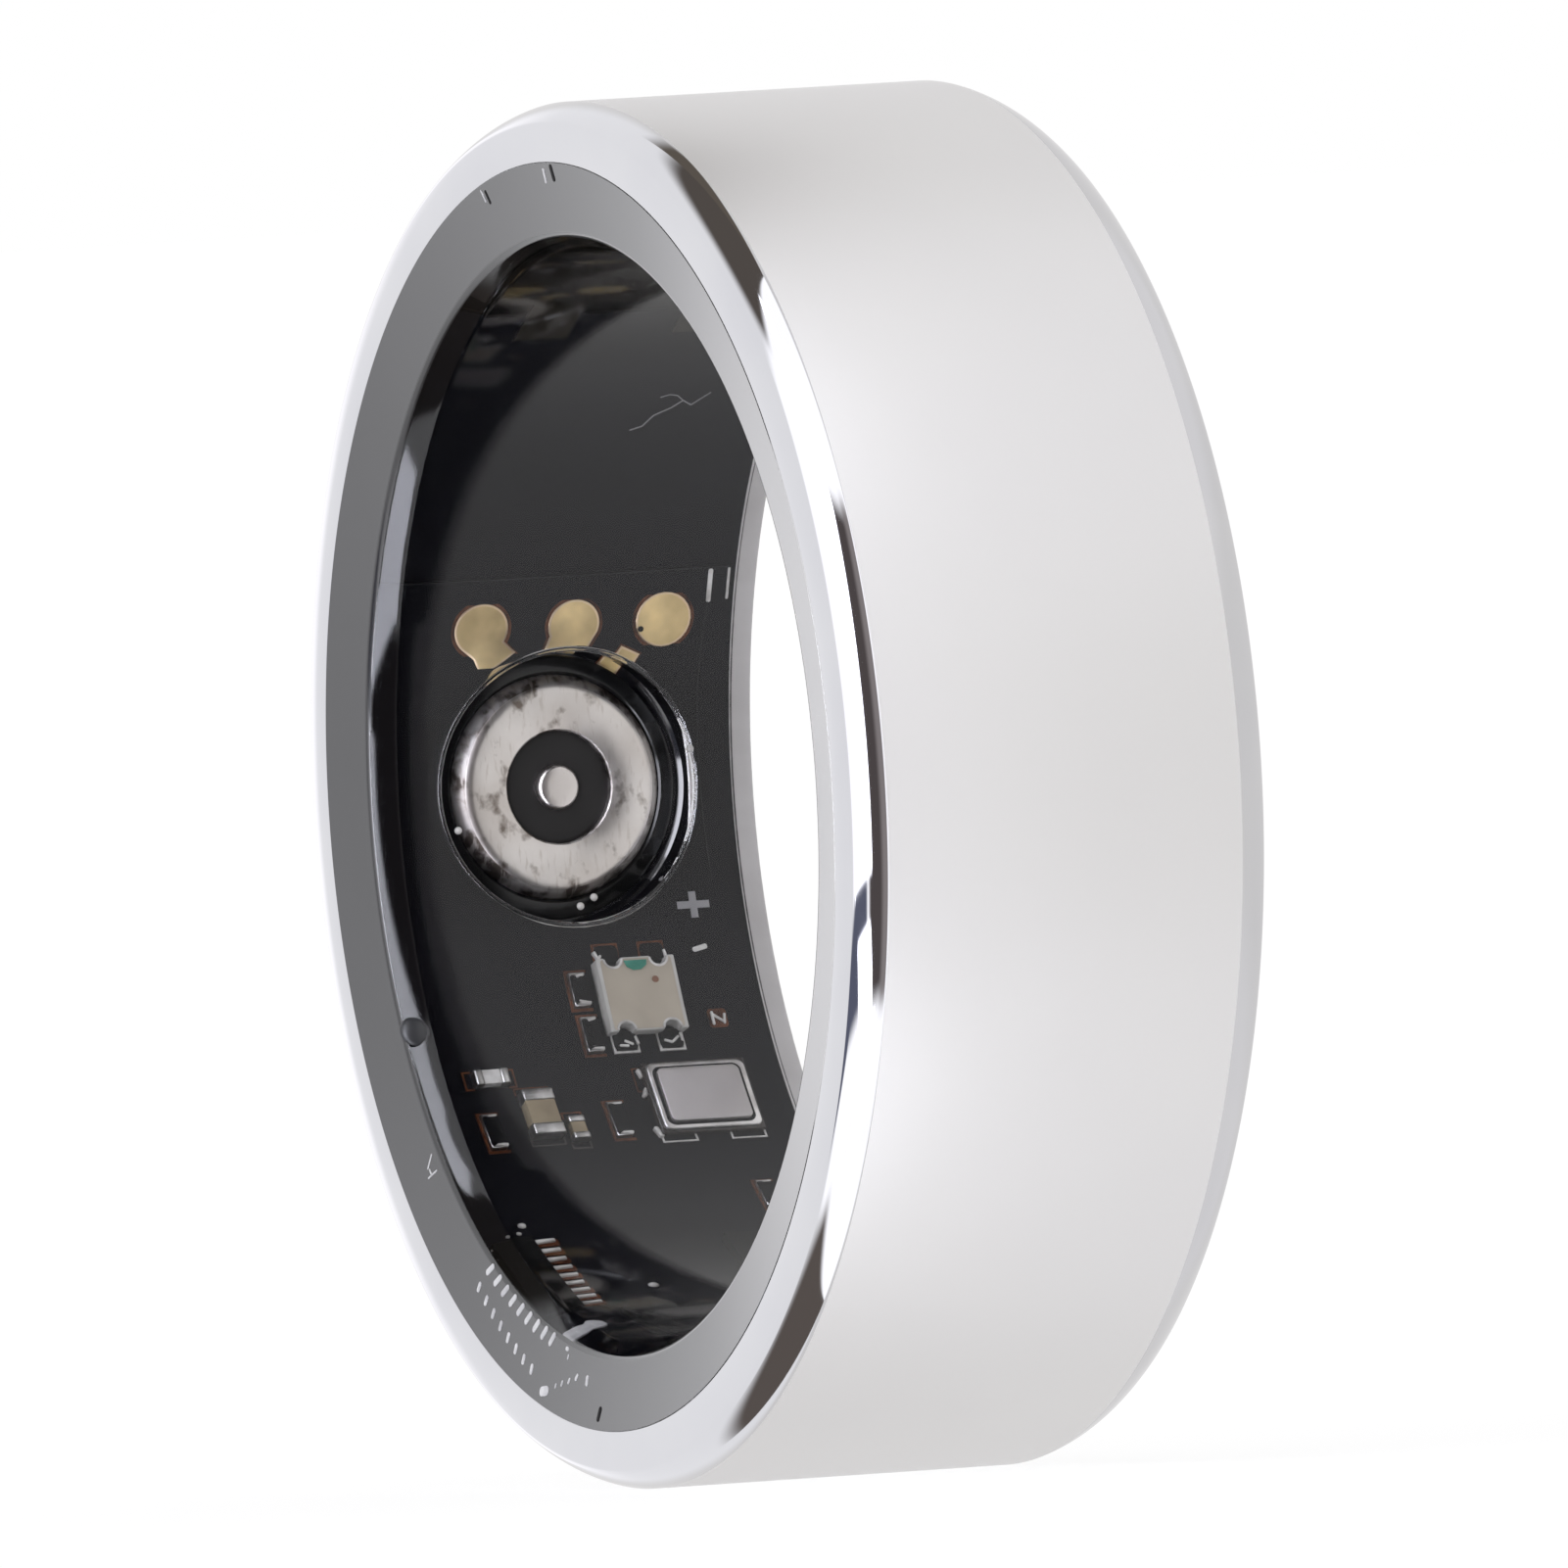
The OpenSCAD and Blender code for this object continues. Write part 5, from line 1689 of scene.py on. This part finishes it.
@dataclass
class Studio:
    """Camera, floor and light round the ring.

    Args:
        azimuth: Bearing of the camera from +X, in degrees, before the ring's turn.
        elevation: Its height, in degrees, before the ring's turn.
        ring_turn: Turn about the ring's axis that brings the contact to -X.
        distance: Distance of the camera, in metres.
        pixels_per_mm: Scale of the photograph at the ring.
        frame_px: Width of the photograph.
        sensor_mm: Width of the camera's sensor.
        floor_half: Half the floor's width, in metres.
        surround: Colour of the surround without its panels.
        panels: Panels that every ray sees but the camera's.
        lamps: Bright panels that only mirrored rays see.
    """

    azimuth: float = -23.77
    elevation: float = 8.29
    ring_turn: float = 7.9
    distance: float = 1.25
    pixels_per_mm: float = 58.10
    frame_px: float = 1601
    sensor_mm: float = 36
    floor_half: float = 2.0
    surround: Triple = (1.02, 1.02, 1.05)
    panels: tuple[Panel, ...] = (
        Panel(8, 168, -95, 95, (0.82, 0.81, 0.81), 12),
        Panel(10, 120, -80, -20, (0.88, 0.87, 0.88), 16),
        Panel(10, 120, 24, 80, (0.9, 0.89, 0.9), 16),
        Panel(-88, 8, -95, 95, (1.5, 1.5, 1.55), 10),
        Panel(-40, -1, -33, 44, (0.1, 0.085, 0.085), 6),
        Panel(-17, -1, -34, 45, (0.3, 0.27, 0.27), 8),
        Panel(-100, -44, -30, -12, (0.13, 0.14, 0.2), 5),
        Panel(-200, -84, 56, 95, (0.11, 0.095, 0.085), 9),
        Panel(150, 200, 50, 95, (0.14, 0.12, 0.1), 8),
        Panel(-200, -78, -95, -52, (0.13, 0.11, 0.1), 10),
        Panel(172, 190, -20, 20, (1.3, 1.29, 1.33), 12),
        Panel(-190, -170, -20, 20, (1.3, 1.29, 1.33), 12),
    )
    lamps: tuple[Panel, ...] = (
        Panel(-72, -35, -12, 42, HIGH_LAMP, 3, 0.02),
        Panel(-52, -34, 42, 60, HIGH_LAMP, 3, -0.6),
        Panel(-64, -44, 58, 72, HIGH_LAMP, 3, -1.6),
        Panel(-66, -46, -65, -54, LOW_LAMP, 3, 1.2),
        Panel(-53, -36, -57, -35, LOW_LAMP, 3, 0.5),
        Panel(-50, -28, -38, -20, LOW_LAMP, 3, -0.55),
    )

    def camera(self) -> None:
        """Puts the camera where the photograph was taken from."""
        azimuth, elevation = math.radians(self.azimuth), math.radians(self.elevation)
        right = Vector((-math.sin(azimuth), math.cos(azimuth), 0))
        level = math.cos(elevation)
        back = Vector((level * math.cos(azimuth), level * math.sin(azimuth), math.sin(elevation)))
        turn = Matrix.Rotation(math.radians(self.ring_turn), 3, "Y")
        clear_selection()
        bpy.ops.object.camera_add()
        camera = added("photo_camera")
        camera.data.sensor_width = self.sensor_mm
        camera.data.lens = self.pixels_per_mm * self.distance / MM / self.frame_px * self.sensor_mm
        camera.data.clip_start, camera.data.clip_end = 0.1, 10
        axes = [turn @ axis for axis in (right, back.cross(right), back)]
        camera.matrix_world = framed(*axes, axes[2] * self.distance)
        bpy.context.scene.camera = camera

    def floor(self) -> None:
        """Lays the pale floor, which keeps the ring's shadow and lets mirrored rays reach the surround."""
        clear_selection()
        bpy.ops.mesh.primitive_plane_add(size=2 * self.floor_half, location=(0, 0, -RING.outer_r * MM))
        floor = added("pale_floor")
        recipe = Recipe("pale_floor")
        recipe.set(Base_Color=(0.9, 0.9, 0.9), Roughness=0.9)
        glow = recipe.node("ShaderNodeEmission", {"Strength": 0.88}).outputs["Emission"]
        damped = recipe.node("ShaderNodeBsdfDiffuse", {"Color": (0.15, 0.15, 0.15)}).outputs["BSDF"]
        recipe.show(recipe.node("ShaderNodeAddShader", {0: glow, 1: damped}).outputs["Shader"], "Is Camera Ray")
        passing = recipe.node("ShaderNodeBsdfTransparent").outputs["BSDF"]
        recipe.show(passing, "Is Glossy Ray", "Is Transmission Ray")
        floor.data.materials.append(recipe.material)

    def world(self) -> None:
        """Surrounds the ring with pale light and the panels that its polish mirrors."""
        graph, colour = Surround("white_surround"), self.surround
        for panel in self.panels:
            colour = graph.hang(colour, panel)
        for lamp in self.lamps:
            colour = graph.hang(colour, lamp, graph.rays("Is Glossy Ray"))
        colour = graph.hang(colour, Panel(-400, 400, -200, 200, (1, 1, 1)), graph.rays("Is Camera Ray"))
        background = graph.node("ShaderNodeBackground", {"Color": colour}).outputs["Background"]
        graph.node("ShaderNodeOutputWorld", {"Surface": background})

    def build(self) -> None:
        """Sets up the studio."""
        self.camera()
        self.floor()
        self.world()
        bpy.context.scene.view_settings.view_transform = "Standard"


def dress_nodes(frame: dict) -> None:
    """Gives each CAD node that stays its own finish.

    Args:
        frame: What was loaded, with the nodes by name.
    """
    for name, finish in NODE_FINISHES.items():
        materials = frame["nodes"][name].data.materials
        materials.clear()
        materials.append(material(finish))
        LOG.info("%s: dressed as %s", name, finish.name)


def main() -> None:
    """Builds the studio, dresses the nodes and adds the modelled pieces."""
    logging.basicConfig(level=logging.INFO, format="%(relativeCreated)d %(message)s")
    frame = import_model()
    Studio().build()
    dress_nodes(frame)
    for part in (MetalBand, ResinLiner, ChargingContact, WellLip, GoldLands, LightSource, TimingCrystal,
                 SmallParts, BoardMarks, LeadRows, EndMarks):
        part().build()


if __name__ == "__main__":
    main()
